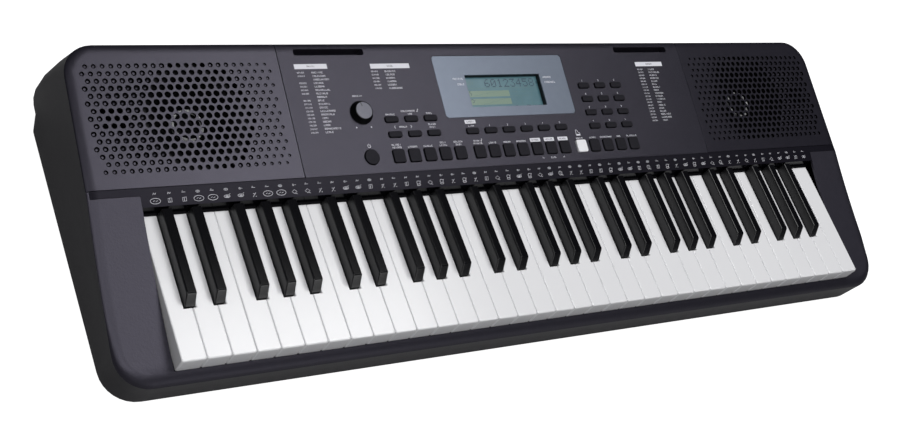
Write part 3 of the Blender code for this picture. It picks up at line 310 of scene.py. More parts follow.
# Upper case: the violet-grey top with its cheeks, front rail and centre panel. The cheeks and rail carry a
# coarse leather grain, and the panel behind the strip a fine one.

PANEL_FRONT_Y = 15.6 * MM
CASE_TOP_DARK = (0.0080, 0.0075, 0.0112)
CASE_TOP_LIGHT = (0.0105, 0.0098, 0.0142)
VIOLET_SHEEN = (0.84, 0.80, 1.0, 1)
TOP_SHINE, LEATHER_SHINE = 0.38, 0.58
LEATHER_DULLNESS = 0.14


def top_plastic(name, leather):
    """The case top's plastic; the leather grain is only in front of the panel."""
    made, tree, shader = new_finish(name, 0.34, Specular_Tint=VIOLET_SHEEN, Specular_IOR_Level=TOP_SHINE)
    height, mottle = with_grain(tree, Grain_Size=0.5 * MM)
    roughness = spread(tree, height, 0.29, 0.40)
    if leather:
        place = add_node(tree, "ShaderNodeSeparateXYZ", {
            0: add_node(tree, "ShaderNodeTexCoord").outputs["Object"]}).outputs
        in_front = spread(tree, place["Y"], 1, 0, PANEL_FRONT_Y - 1 * MM, PANEL_FRONT_Y)
        coarse = with_grain(tree, Grain_Size=2.2 * MM)[0]
        height = flow(tree, "ShaderNodeMix", {"Factor": in_front, 2: height, 3: coarse}, data_type="FLOAT")
        duller = spread(tree, in_front, 0, LEATHER_DULLNESS)
        roughness = flow(tree, "ShaderNodeMath", {0: roughness, 1: duller}, operation="ADD")
        feed(shader, {"Specular IOR Level": spread(tree, in_front, TOP_SHINE, LEATHER_SHINE)})
    feed(shader, {"Base Color": mix_colours(tree, spread(tree, mottle, 0, 1), CASE_TOP_DARK, CASE_TOP_LIGHT),
                  "Roughness": roughness,
                  "Normal": bumped(tree, height, (0.14 if leather else 0.07) * MM)})
    return made


TOP_GREY = top_plastic("top_grey", leather=True)
COVER_GREY = top_plastic("cover_grey", leather=False)
dressed("upper_case", TOP_GREY, 0.35 * MM)


# Speaker covers: the perforated ends of the top. Fifteen staggered rows of holes are largest over the
# speaker; holes there and over the bass port go right through, and the others are blind dimples.

PANEL_SLOPE = 0.181
PANEL_FRONT_Z = 81.3 * MM
PANEL = (Matrix.Translation((0, PANEL_FRONT_Y, PANEL_FRONT_Z))
         @ Matrix.Rotation(math.atan(PANEL_SLOPE), 4, "X"))
SEAM_X = 259.5 * MM
SEAM_OPENING = 0.35 * MM
HOLE_ROWS = 15
HOLE_COLUMNS = 24
HOLE_PITCH_X = 8.0 * MM
HOLE_PITCH_S = 7.15 * MM
HOLE_OUTER_X = 454.7 * MM
HOLE_LAST_S = 16.0 * MM
HOLE_LARGEST = 3.12 * MM
HOLE_SMALLEST = 1.85 * MM
SPEAKER_AT = (351 * MM, 66 * MM)
SPEAKER_OPENING = 54 * MM
PORT_AT = (432.5 * MM, 66 * MM)
PORT_OPENING = 13.5 * MM
DIMPLE_DEPTH = 2.2 * MM
THROUGH_DEPTH = 13 * MM
ISLAND_SHARE = 0.6
ISLAND_SHAPE = (0.85, 0.85, 0.45)


def plain_finish(name, colour, roughness, **sockets):
    return new_finish(name, roughness, Base_Color=(*colour, 1), **sockets)[0]


def grille_tree():
    """Cutters for the holes on a staggered grid in panel places, taken out of the cover.

    A dimple is a ring of painted shade around a low island, and a hole is the same cutter made much longer.
    """
    tree, given, result = new_tree("perforated_cover", "Geometry", {
        "Cover": "Geometry", "Side": -1.0, "Largest Radius": HOLE_LARGEST, "Smallest Radius": HOLE_SMALLEST,
        "Dimple Depth": DIMPLE_DEPTH, "Finish": "Material", "Hole Finish": "Material"},
        {"Cover": "Geometry"})

    def maths(operation, *values, **settings):
        return flow(tree, "ShaderNodeMath", dict(enumerate(values)), operation=operation, **settings)

    def times(*values):
        return maths("MULTIPLY", *values)

    def plus(*values):
        return maths("ADD", *values)

    def minus(*values):
        return maths("SUBTRACT", *values)

    def vector_maths(operation, *values):
        return add_node(tree, "ShaderNodeVectorMath", dict(enumerate(values)), operation=operation).outputs

    def painted(geometry, finish, **selection):
        return flow(tree, "GeometryNodeSetMaterial", {
            "Geometry": geometry, "Material": given[finish], **selection})

    index = flow(tree, "GeometryNodeInputIndex")
    row = maths("FLOOR", maths("DIVIDE", index, HOLE_COLUMNS))
    column = minus(index, times(row, HOLE_COLUMNS))
    indented = maths("MODULO", plus(row, 1.0), 2.0)
    outer_x = minus(HOLE_OUTER_X, times(plus(column, times(indented, 0.5)), HOLE_PITCH_X))
    s = plus(times(row, HOLE_PITCH_S), HOLE_LAST_S)
    points = flow(tree, "GeometryNodePoints", {
        "Count": HOLE_ROWS * HOLE_COLUMNS,
        "Position": flow(tree, "ShaderNodeCombineXYZ", {0: times(outer_x, given["Side"]), 1: s})})
    missing_end = times(maths("COMPARE", column, HOLE_COLUMNS - 1.0, 0.5), indented)
    cut_corner = times(maths("COMPARE", row, 1.0, 0.5), maths("COMPARE", column, 0.0, 0.5))
    kept = flow(tree, "GeometryNodeDeleteGeometry", {
        "Geometry": points, "Selection": plus(missing_end, cut_corner)}, domain="POINT")

    here = flow(tree, "GeometryNodeInputPosition")
    place = add_node(tree, "ShaderNodeSeparateXYZ", {0: here}).outputs
    from_end = maths("ABSOLUTE", place[0])

    def within(at, reach):
        dx = minus(from_end, at[0])
        ds = minus(place[1], at[1])
        return maths("LESS_THAN", maths("SQRT", plus(times(dx, dx), times(ds, ds))), reach)

    inner_share = add_node(tree, "ShaderNodeMapRange", {
        "Value": from_end, "From Min": 334 * MM, "From Max": 268 * MM, "To Min": 0, "To Max": 1},
        interpolation_type="SMOOTHSTEP").outputs[0]
    outer_share = spread(tree, from_end, 1, 0.84, 395 * MM, 455 * MM)
    from_middle = maths("ABSOLUTE", minus(place[1], SPEAKER_AT[1]))
    row_share = spread(tree, from_middle, 1, 0.80, 30 * MM, 51 * MM)
    shrinking = times(inner_share, minus(given["Smallest Radius"], given["Largest Radius"]))
    radius = times(times(plus(given["Largest Radius"], shrinking), outer_share), row_share)
    through = maths("ADD", within(SPEAKER_AT, SPEAKER_OPENING), within(PORT_AT, PORT_OPENING),
                    use_clamp=True)
    depth = plus(given["Dimple Depth"], times(through, THROUGH_DEPTH))

    pin = flow(tree, "GeometryNodeMeshCylinder", {
        "Vertices": 14, "Fill Segments": 2, "Radius": 1.0, "Depth": 2.0}, fill_type="TRIANGLE_FAN")
    from_axis = vector_maths("LENGTH", vector_maths("MULTIPLY", here, (1, 1, 0))[0])["Value"]
    island = times(maths("LESS_THAN", place[2], 0.0), maths("LESS_THAN", from_axis, ISLAND_SHARE))
    raised = flow(tree, "GeometryNodeSetPosition", {
        "Geometry": pin, "Selection": island, "Position": vector_maths("MULTIPLY", here, ISLAND_SHAPE)[0]})
    # The walls and the ring at the bottom get the painted shade; the island keeps the cover's finish.
    drill = painted(painted(raised, "Hole Finish"), "Finish", Selection=island)
    placed = flow(tree, "GeometryNodeInstanceOnPoints", {
        "Points": kept, "Instance": drill,
        "Scale": flow(tree, "ShaderNodeCombineXYZ", {0: radius, 1: radius, 2: depth})})
    sloped = flow(tree, "GeometryNodeTransform", {
        "Geometry": placed, "Translation": PANEL.to_translation(), "Rotation": PANEL.to_euler()})
    drills = flow(tree, "GeometryNodeRealizeInstances", {0: sloped})
    cut = flow(tree, "GeometryNodeMeshBoolean", {0: painted(given["Cover"], "Finish"), 1: drills},
               operation="DIFFERENCE", solver="EXACT")
    tree.links.new(flow(tree, "GeometryNodeRealizeInstances", {0: cut}), result[0])
    return tree


def run_tree(piece, tree, **values):
    """Put a geometry tree on a piece with its inputs by name, and settle the result."""
    modifier = piece.modifiers.new(tree.name, "NODES")
    modifier.node_group = tree
    names = {item.name: item.identifier for item in tree.interface.items_tree
             if item.item_type == "SOCKET" and item.in_out == "INPUT"}
    for name, value in values.items():
        modifier[names[name.replace("_", " ")]] = value
    return settled(piece)


# Painted shade: near-black walls inside the holes and dimples, where shadow falls.
HOLE_PAINTED_SHADE = plain_finish("hole_painted_shade", (0.0015, 0.0015, 0.002), 0.8, Specular_IOR_Level=0.05)
GRILLE = grille_tree()
for node, side in (("left_speaker_cover", -1.0), ("right_speaker_cover", 1.0)):
    cover = plain_copy(node)
    for vert in cover.data.vertices:
        if abs(vert.co.x) < SEAM_X + 0.6 * MM:
            vert.co.x += side * SEAM_OPENING
    soften(cover, 0.2 * MM)
    run_tree(cover, GRILLE, Side=side, Finish=COVER_GREY, Hole_Finish=HOLE_PAINTED_SHADE)
    mount(even_normals(cover), None, CASE, [node])


# Loudspeakers: a pressed steel basket with its magnet, a doped paper cone on a rolled rubber surround, and
# a dark dust cap. A pale ring on the cap is a painted highlight for the glints seen through the holes.
# Each is screwed up under its cover.

FLANGE_DROP = 3.3 * MM
RIM_WIDTH = 5.0
ROLL_RADIUS = 4.0
CAP_RADIUS = 14.4
CAP_TOP = -19.0


def turned(name, profile, place, steps=48):
    """A piece turned around its own axis: the profile is (radius, height) in millimetres, top down."""
    bm = bmesh.new()
    verts = [bm.verts.new((radius * MM, 0, height * MM)) for radius, height in profile]
    edges = [bm.edges.new(pair) for pair in zip(verts, verts[1:])]
    bmesh.ops.spin(bm, geom=verts + edges, angle=math.tau, steps=steps, axis=(0, 0, 1), cent=(0, 0, 0))
    bmesh.ops.remove_doubles(bm, verts=bm.verts, dist=SAME_PLACE)
    bmesh.ops.recalc_face_normals(bm, faces=bm.faces)
    bm.transform(place)
    return even_normals(new_piece(name, bm))


BASKET_BLACK = plain_finish("basket_black", (0.006, 0.006, 0.007), 0.6, Specular_IOR_Level=0.1)
CONE_PAPER = moulded_plastic("cone_paper", (0.003, 0.003, 0.0035), (0.005, 0.005, 0.006), 0.85, 1.2 * MM,
                             Specular_IOR_Level=0.05)
CAP_BLACK = plain_finish("cap_black", (0.003, 0.003, 0.004), 0.6, Specular_IOR_Level=0.1)
# Painted highlight: a pale ring that stands in for the cap's glints through the holes.
PAINTED_GLINT_RING = plain_finish("painted_glint_ring", (0.97, 0.97, 0.98), 0.3, Specular_IOR_Level=1.0)
for node in ("left_speaker", "right_speaker"):
    low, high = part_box(node)
    across = (high.x - low.x) / 2 / MM
    rim = across - RIM_WIDTH
    place = PANEL @ Matrix.Translation(((low.x + high.x) / 2, SPEAKER_AT[1], -FLANGE_DROP))
    basket = [(rim, 0), (across, 0), (across, -2), (rim, -2), (rim * 0.87, -7), (31, -20.5), (27, -21),
              (27, -34), (0, -34), (0, -33), (25, -30.5), (25.5, -21), (rim - 2, -3), (rim, 0)]
    mount(turned(node + "_basket", basket, place), BASKET_BLACK, CASE, [node])
    roll = [(rim - ROLL_RADIUS + ROLL_RADIUS * math.cos(a), 2.3 * math.sin(a) - 2)
            for a in (math.pi * i / 8 for i in range(9))]
    cone = roll + [(25, -15.5), (17, -22), (16, -23), (25, -16.6), (rim - 8, -2.9), (rim, -2.9), (rim, -2)]
    mount(turned(node + "_cone", cone, place), CONE_PAPER)
    dome = [(CAP_RADIUS * math.sin(a), CAP_RADIUS * (math.cos(a) - 1) / 2 + CAP_TOP)
            for a in (math.pi / 2 * i / 9 for i in range(10))]
    cap = dome + [(CAP_RADIUS, -27.5), (0, -27)]
    mount(turned(node + "_dust_cap", cap, place), CAP_BLACK)
    ring = [(13.2, -21), (13.7, -18.9), (14.6, -18.2), (15.5, -18.9), (16, -20.6), (15.4, -22.8),
            (13.2, -21)]
    mount(turned(node + "_painted_glint_ring", ring, place), PAINTED_GLINT_RING)


# Key strip: one satin dark moulding along the rear of the keys, glossy on the lip that hangs over them.
# It clips to the ledge of the top case. Near-black pads under the lip, over the white keys, are painted shade
# for the shade under the lip.

STRIP_SATIN = moulded_plastic("strip_satin", (0.0050, 0.0046, 0.0074), (0.0062, 0.0058, 0.0090), 0.40,
                              0.45 * MM, 0.02 * MM, Specular_IOR_Level=0.115, Specular_Tint=VIOLET_SHEEN)
LIP_GLOSS = plain_finish("lip_gloss", (0.002, 0.002, 0.003), 0.20, Specular_IOR_Level=0.05)
LIP_REACH = 4.5 * MM
strip = dressed("key_strip", STRIP_SATIN, 0.15 * MM)
strip.data.materials.append(LIP_GLOSS)
lip_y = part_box("key_strip")[0].y
for face in strip.data.polygons:
    if face.center.y < lip_y + LIP_REACH and face.normal.z < 0.75:
        face.material_index = 1

WHITE_PITCH = 23.5 * MM
KEYS_LEFT = -18 * WHITE_PITCH
BLACK_OFFSETS = {0: -2.35 * MM, 1: 2.35 * MM, 3: -3.4 * MM, 4: 0.0, 5: 3.4 * MM}
BLACK_REACH = 6.4 * MM
# Painted shade: near-black pads under the lip, over the white keys between the black ones.
SHADE_PAD_FRONT, SHADE_PAD_REAR = 2.6 * MM, 1.5 * MM
SHADE_PAD_LOW, SHADE_PAD_HIGH = 65.8 * MM, 66.65 * MM
END_GAP = 0.5 * MM
SHADE_PAD_BLACK = plain_finish("shade_pad_black", (0.004, 0.004, 0.005), 0.95, Specular_IOR_Level=0.1)
blacks = [KEYS_LEFT + (7 * octave + after + 1) * WHITE_PITCH + offset
          for octave in range(5) for after, offset in BLACK_OFFSETS.items()]
starts = [KEYS_LEFT + END_GAP] + [x + BLACK_REACH for x in blacks]
ends = [x - BLACK_REACH for x in blacks] + [-KEYS_LEFT - END_GAP]
shade_pads = bmesh.new()
for start, end in zip(starts, ends):
    low = Vector((start, lip_y - SHADE_PAD_FRONT, SHADE_PAD_LOW))
    high = Vector((end, lip_y + SHADE_PAD_REAR, SHADE_PAD_HIGH))
    bmesh.ops.create_cube(shade_pads, size=1, matrix=Matrix.Translation((low + high) / 2)
                          @ Matrix.Diagonal((*(high - low), 1)))
mount(new_piece("lip_shade_pads", shade_pads), SHADE_PAD_BLACK)


# Display: a blue-grey sheet of anodised metal, lying in its recess around the window.
# The window's black walls go down to the LCD, a reflective teal cell with navy segments.

PLATE_DARK, PLATE_LIGHT = (0.108, 0.127, 0.164), (0.126, 0.147, 0.186)
CELL_DARK, CELL_LIGHT = (0.053, 0.132, 0.160), (0.075, 0.166, 0.198)
LCD_LEFT, LCD_RIGHT, LCD_HIGH = -48.2, 48.2, 100.7
LCD_DEPTH = -5.8 * MM
INK_THICKNESS = 0.05
FIGURE_SHARE = 0.72
DIGIT_DOTS = {
    "0": ("01110", "10001", "10011", "10101", "11001", "10001", "01110"),
    "1": ("00100", "01100", "00100", "00100", "00100", "00100", "01110"),
    "2": ("01110", "10001", "00001", "00010", "00100", "01000", "11111"),
    "3": ("11111", "00010", "00100", "00010", "00001", "10001", "01110"),
    "4": ("00010", "00110", "01010", "10010", "11111", "00010", "00010"),
    "5": ("11111", "10000", "11110", "00001", "00001", "10001", "01110"),
    "6": ("00110", "01000", "10000", "11110", "10001", "10001", "01110"),
    "8": ("01110", "10001", "10001", "01110", "10001", "10001", "01110"),
}
DOT_PITCH, DOT_SIZE = 1.33, 1.2
CHARACTER_PITCH = 8.3
LCD_NUMBER = "60123458"
STAFF_LEVELS = (69.6, 78.6)


def anodised_plate():
    """Fine-grained metal, a little mottled."""
    made, tree, shader = new_finish("plate_blue", 0.40, Metallic=0.6)
    height, mottle = with_grain(tree, Grain_Size=0.35 * MM)
    feed(shader, {"Base Color": mix_colours(tree, mottle, PLATE_DARK, PLATE_LIGHT),
                  "Normal": bumped(tree, height, 0.015 * MM)})
    return made


def lcd_cell():
    """The reflective cell: teal, faintly streaked, with a soft sheen."""
    made, tree, shader = new_finish("lcd_cell", 0.28)
    mottle = with_grain(tree, Mottle_Size=22 * MM)[1]
    feed(shader, {"Base Color": mix_colours(tree, spread(tree, mottle, 0, 1), CELL_DARK, CELL_LIGHT)})
    return made


def add_patch(bm, centre, size, corner=0.0, steps=4):
    """A flat filled rectangle in the printing plane, with round corners if asked."""
    half_x, half_y = size[0] / 2 - corner, size[1] / 2 - corner
    outline = []
    for quarter, (sx, sy) in enumerate(((1, 1), (-1, 1), (-1, -1), (1, -1))):
        for step in range(steps + 1 if corner else 1):
            a = (quarter + step / steps) * math.pi / 2
            outline.append(((centre[0] + sx * half_x + corner * math.cos(a)) * MM,
                            (centre[1] + sy * half_y + corner * math.sin(a)) * MM, 0))
    bm.faces.new([bm.verts.new(point) for point in outline])


def add_stroke(bm, points, width, closed=False):
    """A flat line of even width through the points, mitred at its corners."""
    count = len(points)
    sides = []
    for i, point in enumerate(points):
        here = Vector(point)
        last = Vector(points[i - 1])
        following = Vector(points[(i + 1) % count])
        before = last if i or closed else here * 2 - following
        after = following if i < count - 1 or closed else here * 2 - last
        ahead, behind = (after - here).normalized(), (here - before).normalized()
        across = Vector((-(ahead + behind).y, (ahead + behind).x)).normalized()
        reach = width / 2 / max(0.5, across.dot(Vector((-ahead.y, ahead.x))))
        sides.append([bm.verts.new((*((here + across * side * reach) * MM), 0)) for side in (1, -1)])
    for i in range(count if closed else count - 1):
        (a, b), (c, d) = sides[i], sides[(i + 1) % count]
        bm.faces.new((a, b, d, c))


def add_text(bm, words, at, height, align="CENTER"):
    """Flat figures in the built-in typeface, as tall as asked."""
    text = bpy.data.curves.new("figures", "FONT")
    text.body = words
    text.size = height * MM / FIGURE_SHARE
    text.align_x = align
    text.align_y = "CENTER"
    text.resolution_u = 3
    holder = put("figures", text)
    bpy.context.view_layer.update()
    mesh = bpy.data.meshes.new_from_object(holder.evaluated_get(bpy.context.evaluated_depsgraph_get()))
    mesh.transform(Matrix.Translation((at[0] * MM, at[1] * MM, 0)))
    bm.from_mesh(mesh)
    bpy.data.objects.remove(holder)
    bpy.data.curves.remove(text)
    bpy.data.meshes.remove(mesh)


def arc(centre, radius, start, end, steps=14):
    return [(centre[0] + radius * math.cos(a), centre[1] + radius * math.sin(a))
            for a in (math.radians(start + (end - start) * i / steps) for i in range(steps + 1))]


def printed(name, bm, finish, place, thickness=INK_THICKNESS, body=CASE):
    """Turn flat shapes into a thin layer of ink lying on the plane of a place."""
    bmesh.ops.remove_doubles(bm, verts=bm.verts, dist=SAME_PLACE / 2)
    bmesh.ops.recalc_face_normals(bm, faces=bm.faces)
    for face in bm.faces:
        if face.normal.z < 0:
            face.normal_flip()
    piece = new_piece(name, bm)
    layer = piece.modifiers.new("ink", "SOLIDIFY")
    layer.thickness = thickness * MM
    layer.offset = 1.0
    settled(piece).data.transform(place)
    return mount(piece, finish, body)


def point_cloud(name, places, **attribute):
    """Loose points, with a whole number on each if asked."""
    mesh = bpy.data.meshes.new(name)
    mesh.from_pydata([[value * MM for value in place] for place in places], [], [])
    for key, values in attribute.items():
        mesh.attributes.new(key, "INT", "POINT").data.foreach_set("value", values)
    return put(name, mesh)


def stamp_tree(name, source, inputs, add_stamp):
    """A tree that sets a stamp on every point of its first input and gives it the finish.

    add_stamp gets the tree, its inputs and the points; it returns the points and what goes on them.
    """
    tree, given, result = new_tree(name, "Geometry", {source: "Geometry", **inputs, "Finish": "Material"},
                                   {source: "Geometry"})
    points = flow(tree, "GeometryNodeMeshToPoints", {"Mesh": given[source]})
    points, stamp = add_stamp(tree, given, points)
    placed = flow(tree, "GeometryNodeInstanceOnPoints", {"Points": points, **stamp})
    whole = flow(tree, "GeometryNodeRealizeInstances", {0: placed})
    painted = flow(tree, "GeometryNodeSetMaterial", {"Geometry": whole, "Material": given["Finish"]})
    tree.links.new(painted, result[0])
    return tree


def lit_dot(tree, given, points):
    side = given["Dot Size"]
    square = flow(tree, "GeometryNodeMeshGrid", {
        "Size X": side, "Size Y": side, "Vertices X": 2, "Vertices Y": 2})
    return points, {"Instance": square}


TRAY_BLACK = plain_finish("tray_black", (0.004, 0.004, 0.005), 0.5)
dressed("display_panel", anodised_plate(), 0.25 * MM)
dressed("lcd_module", TRAY_BLACK, 0.15 * MM)
dressed("lcd_glass", lcd_cell(), 0.1 * MM)

SEGMENT_NAVY = plain_finish("segment_navy", (0.010, 0.035, 0.065), 0.35)
SEGMENT_FAINT = plain_finish("segment_faint", (0.075, 0.150, 0.150), 0.35)
SEGMENT_OLIVE = plain_finish("segment_olive", (0.150, 0.225, 0.165), 0.35)
lcd_plane = PANEL @ Matrix.Translation((0, 0, LCD_DEPTH))
dots = [(place_in_number * CHARACTER_PITCH + column * DOT_PITCH - 21, LCD_HIGH - 2.9 - line * DOT_PITCH, 0.05)
        for place_in_number, figure in enumerate(LCD_NUMBER)
        for line, bits in enumerate(DIGIT_DOTS[figure])
        for column, bit in enumerate(bits) if bit == "1"]
DOT_MATRIX = stamp_tree("dot_matrix", "Dots", {"Dot Size": DOT_SIZE * MM}, lit_dot)
number = run_tree(point_cloud("lcd_number", dots), DOT_MATRIX, Finish=SEGMENT_NAVY)
number.data.transform(lcd_plane)
mount(number, SEGMENT_NAVY)

bands = bmesh.new()
for level in STAFF_LEVELS:
    add_patch(bands, (-18.5, level + 3.4), (52, 6.8))
printed("lcd_staff_bands", bands, SEGMENT_OLIVE, lcd_plane, 0.02)

faint = bmesh.new()
add_text(faint, "001", (-39.5, 94.0), 4.2)
add_stroke(faint, [(LCD_LEFT, 88.4), (LCD_RIGHT, 88.4)], 0.35)
for level in STAFF_LEVELS:
    for line in range(5):
        s = level + 0.6 + 1.4 * line
        add_stroke(faint, [(-44.5, s), (7.5, s)], 0.12)
for x in (8.5, 21.5, 34.5):
    add_stroke(faint, [(x, 66.0), (x, 79.0)], 0.3)
for x in (8.5, 18.0, 27.5, 37.0):
    add_stroke(faint, [(x, 79.0), (x, 88.4)], 0.22)
for s in (79.0, 83.7):
    add_stroke(faint, [(8.5, s), (47.5, s)], 0.22)
for start_s, rise in ((79.5, 7.0), (67.5, 9.5)):
    curve = [(3.2 * i - 40, start_s + rise * i / 14 + 0.35 * math.sin(i * 1.9)) for i in range(15)]
    add_stroke(faint, curve, 0.22)
printed("lcd_faint_segments", faint, SEGMENT_FAINT, lcd_plane, 0.035)

navy = bmesh.new()
spiral = [(-42 + 1.5 * (0.35 + 0.65 * t) * math.sin(6.6 * t), 80.4 + 5.4 * t)
          for t in (i / 16 for i in range(17))]
add_stroke(navy, spiral, 0.55)
add_stroke(navy, arc((-42.2, 74.0), 1.9, 150, -92, 11), 0.55)
for centre, size, corner in (((-39.2, 74.9), (0.7, 0.7), 0), ((13.0, 67.0), (3.4, 1.5), 0.5),
                             ((28.5, 67.6), (5.0, 0.7), 0.3), ((44.0, 66.9), (4.6, 1.6), 0.4),
                             ((46.6, 93.5), (1.2, 2.6), 0.3)):
    add_patch(navy, centre, size, corner)
printed("lcd_marks", navy, SEGMENT_NAVY, lcd_plane)


# Push buttons: matt rubber caps moulded in banks on one web, each a little proud of its hole, with a fine
# grain on top. One is white. The round power button is of the same rubber.

BUTTON_RUBBER = moulded_plastic("button_rubber", (0.0070, 0.0070, 0.0082), (0.0090, 0.0090, 0.0105), 0.60,
                                0.5 * MM, 0.04 * MM, Specular_IOR_Level=0.17, Specular_Tint=VIOLET_SHEEN)
WHITE_RUBBER = moulded_plastic("white_rubber", (0.72, 0.72, 0.75), (0.76, 0.76, 0.79), 0.5, 0.5 * MM,
                               0.02 * MM)
for node in ("mixer_button_bank", "style_button_bank", "memory_button_bank", "voice_button_bank",
             "function_button_bank", "number_pad", "power_button"):
    dressed(node, BUTTON_RUBBER, 0.4 * MM, 3)
dressed("piano_button", WHITE_RUBBER, 0.4 * MM, 3)


# Volume knob: a black moulding with a turned skirt and a lighter satin disc let into its top.
# A short black notch at the disc's rim shows where it points.

KNOB_BLACK = plain_finish("knob_satin_black", (0.0010, 0.0010, 0.0015), 0.42, Specular_IOR_Level=0.12)
DISC_GREY = moulded_plastic("knob_disc_grey", (0.069, 0.069, 0.102), (0.083, 0.083, 0.118), 0.40, 0.4 * MM,
                            0.02 * MM)
KNOB_PLACE = PANEL @ Matrix.Translation((-182.4 * MM, 63.1 * MM, 6.6 * MM))
DISC_RADIUS, DISC_TOP = 8.7, 0.12
POINTER_ANGLE = math.radians(105)
dressed("volume_knob", KNOB_BLACK, 0.3 * MM, 3)
disc = turned("knob_disc", [(0, DISC_TOP), (DISC_RADIUS - 0.3, DISC_TOP), (DISC_RADIUS, 0.02),
                            (DISC_RADIUS, -0.1)], KNOB_PLACE)
mount(disc, DISC_GREY, BODY_OF["volume_knob"])
pointer = bmesh.new()
add_patch(pointer, (DISC_RADIUS - 2.1, 0), (4.2, 1.0), 0.45)
pointer_place = (KNOB_PLACE @ Matrix.Rotation(POINTER_ANGLE, 4, "Z")
                 @ Matrix.Translation((0, 0, DISC_TOP * MM)))
printed("knob_pointer", pointer, TRAY_BLACK, pointer_place, body=BODY_OF["volume_knob"])


# Panel printing: white ink on the case top. Words are marks too small to read; figures, arrows, dots and
# signs are plain ones. Pale tags carry dark words.

INK_WHITE = plain_finish("ink_white", (0.64, 0.64, 0.69), 0.5)
INK_DARK = plain_finish("ink_dark", (0.05, 0.05, 0.065), 0.5)
LETTER_HEIGHT, LETTER_PITCH = 1.75, 1.85
LETTER_STROKE = 0.3 * 0.62
LEFT_STEM, RIGHT_STEM = (-0.3, 0, LETTER_STROKE, 1), (0.3, 0, LETTER_STROKE, 1)
LETTERS = (
    (LEFT_STEM, RIGHT_STEM, (0, 0.41, 0.6, LETTER_STROKE)),
    (LEFT_STEM, (0.05, 0.41, 0.6, LETTER_STROKE), (0.05, -0.41, 0.6, LETTER_STROKE)),
    (LEFT_STEM, RIGHT_STEM, (0, 0, 0.5, LETTER_STROKE)),
    (LEFT_STEM, (0.05, -0.41, 0.6, LETTER_STROKE)),
    ((0, 0, LETTER_STROKE, 1),),
    (LEFT_STEM, RIGHT_STEM, (0, 0.41, 0.6, LETTER_STROKE), (0, -0.41, 0.6, LETTER_STROKE)),
)


def gathered(tree, kind, parts):
    """A node that joins any number of parts; as instances, the last one is number 0."""
    made = tree.nodes.new(kind)
    for part in parts:
        tree.links.new(part, made.inputs[0])
    return made.outputs[0]


def letter_row(tree, given, points):
    """A row of letter-like stroke shapes for every point, as many as the point's letters attribute says."""
    def bar(x, y, width, height):
        size = flow(tree, "ShaderNodeCombineXYZ", {0: width, 1: height, 2: 1.0})
        return flow(tree, "GeometryNodeTransform", {
            "Geometry": flow(tree, "GeometryNodeMeshCube", {"Size": size}), "Translation": (x, y, 0.5)})

    shapes = [gathered(tree, "GeometryNodeJoinGeometry", [bar(*numbers) for numbers in letter])
              for letter in LETTERS]
    count = flow(tree, "GeometryNodeInputNamedAttribute", {"Name": "letters"}, data_type="INT")
    rows = add_node(tree, "GeometryNodeDuplicateElements", {"Geometry": points, "Amount": count},
                    domain="POINT").outputs
    along = flow(tree, "ShaderNodeMath", {0: rows["Duplicate Index"], 1: given["Letter Pitch"]},
                 operation="MULTIPLY")
    placed = flow(tree, "GeometryNodeSetPosition", {
        "Geometry": rows[0], "Offset": flow(tree, "ShaderNodeCombineXYZ", {0: along})})
    pick = add_node(tree, "FunctionNodeRandomValue", {
        "Min": 0, "Max": len(LETTERS) - 1, "Seed": given["Seed"]}, data_type="INT")
    size = flow(tree, "ShaderNodeCombineXYZ", {
        0: given["Letter Height"], 1: given["Letter Height"], 2: given["Ink"]})
    return placed, {"Instance": gathered(tree, "GeometryNodeGeometryToInstance", shapes),
                    "Pick Instance": True, "Instance Index": pick.outputs["Value"], "Scale": size}


SMALL_PRINT = stamp_tree("small_print", "Words", {
    "Letter Height": LETTER_HEIGHT * MM, "Letter Pitch": LETTER_PITCH * MM, "Ink": INK_THICKNESS * MM,
    "Seed": 3}, letter_row)


def print_words(name, words, finish, place, height=LETTER_HEIGHT, pitch=LETTER_PITCH, lift=0.0):
    """Small print at (x, s, letters, align); align 0 starts at x, 0.5 is centred and 1 ends there."""
    places = [(x - align * (letters - 1) * pitch, s, lift) for x, s, letters, align in words]
    piece = point_cloud(name, places, letters=[word[2] for word in words])
    run_tree(piece, SMALL_PRINT, Letter_Height=height * MM, Letter_Pitch=pitch * MM, Finish=finish)
    piece.data.transform(place)
    return mount(piece, finish)


def add_dot(bm, centre, radius):
    add_patch(bm, centre, (2 * radius, 2 * radius), radius * 0.999)


def add_note(bm, x, s):
    """A small note sign."""
    add_patch(bm, (x, s - 0.9), (1.3, 0.95), 0.45)
    add_stroke(bm, [(x + 0.5, s - 0.9), (x + 0.9, s + 1.5), (x + 1.8, s + 0.7)], 0.35)


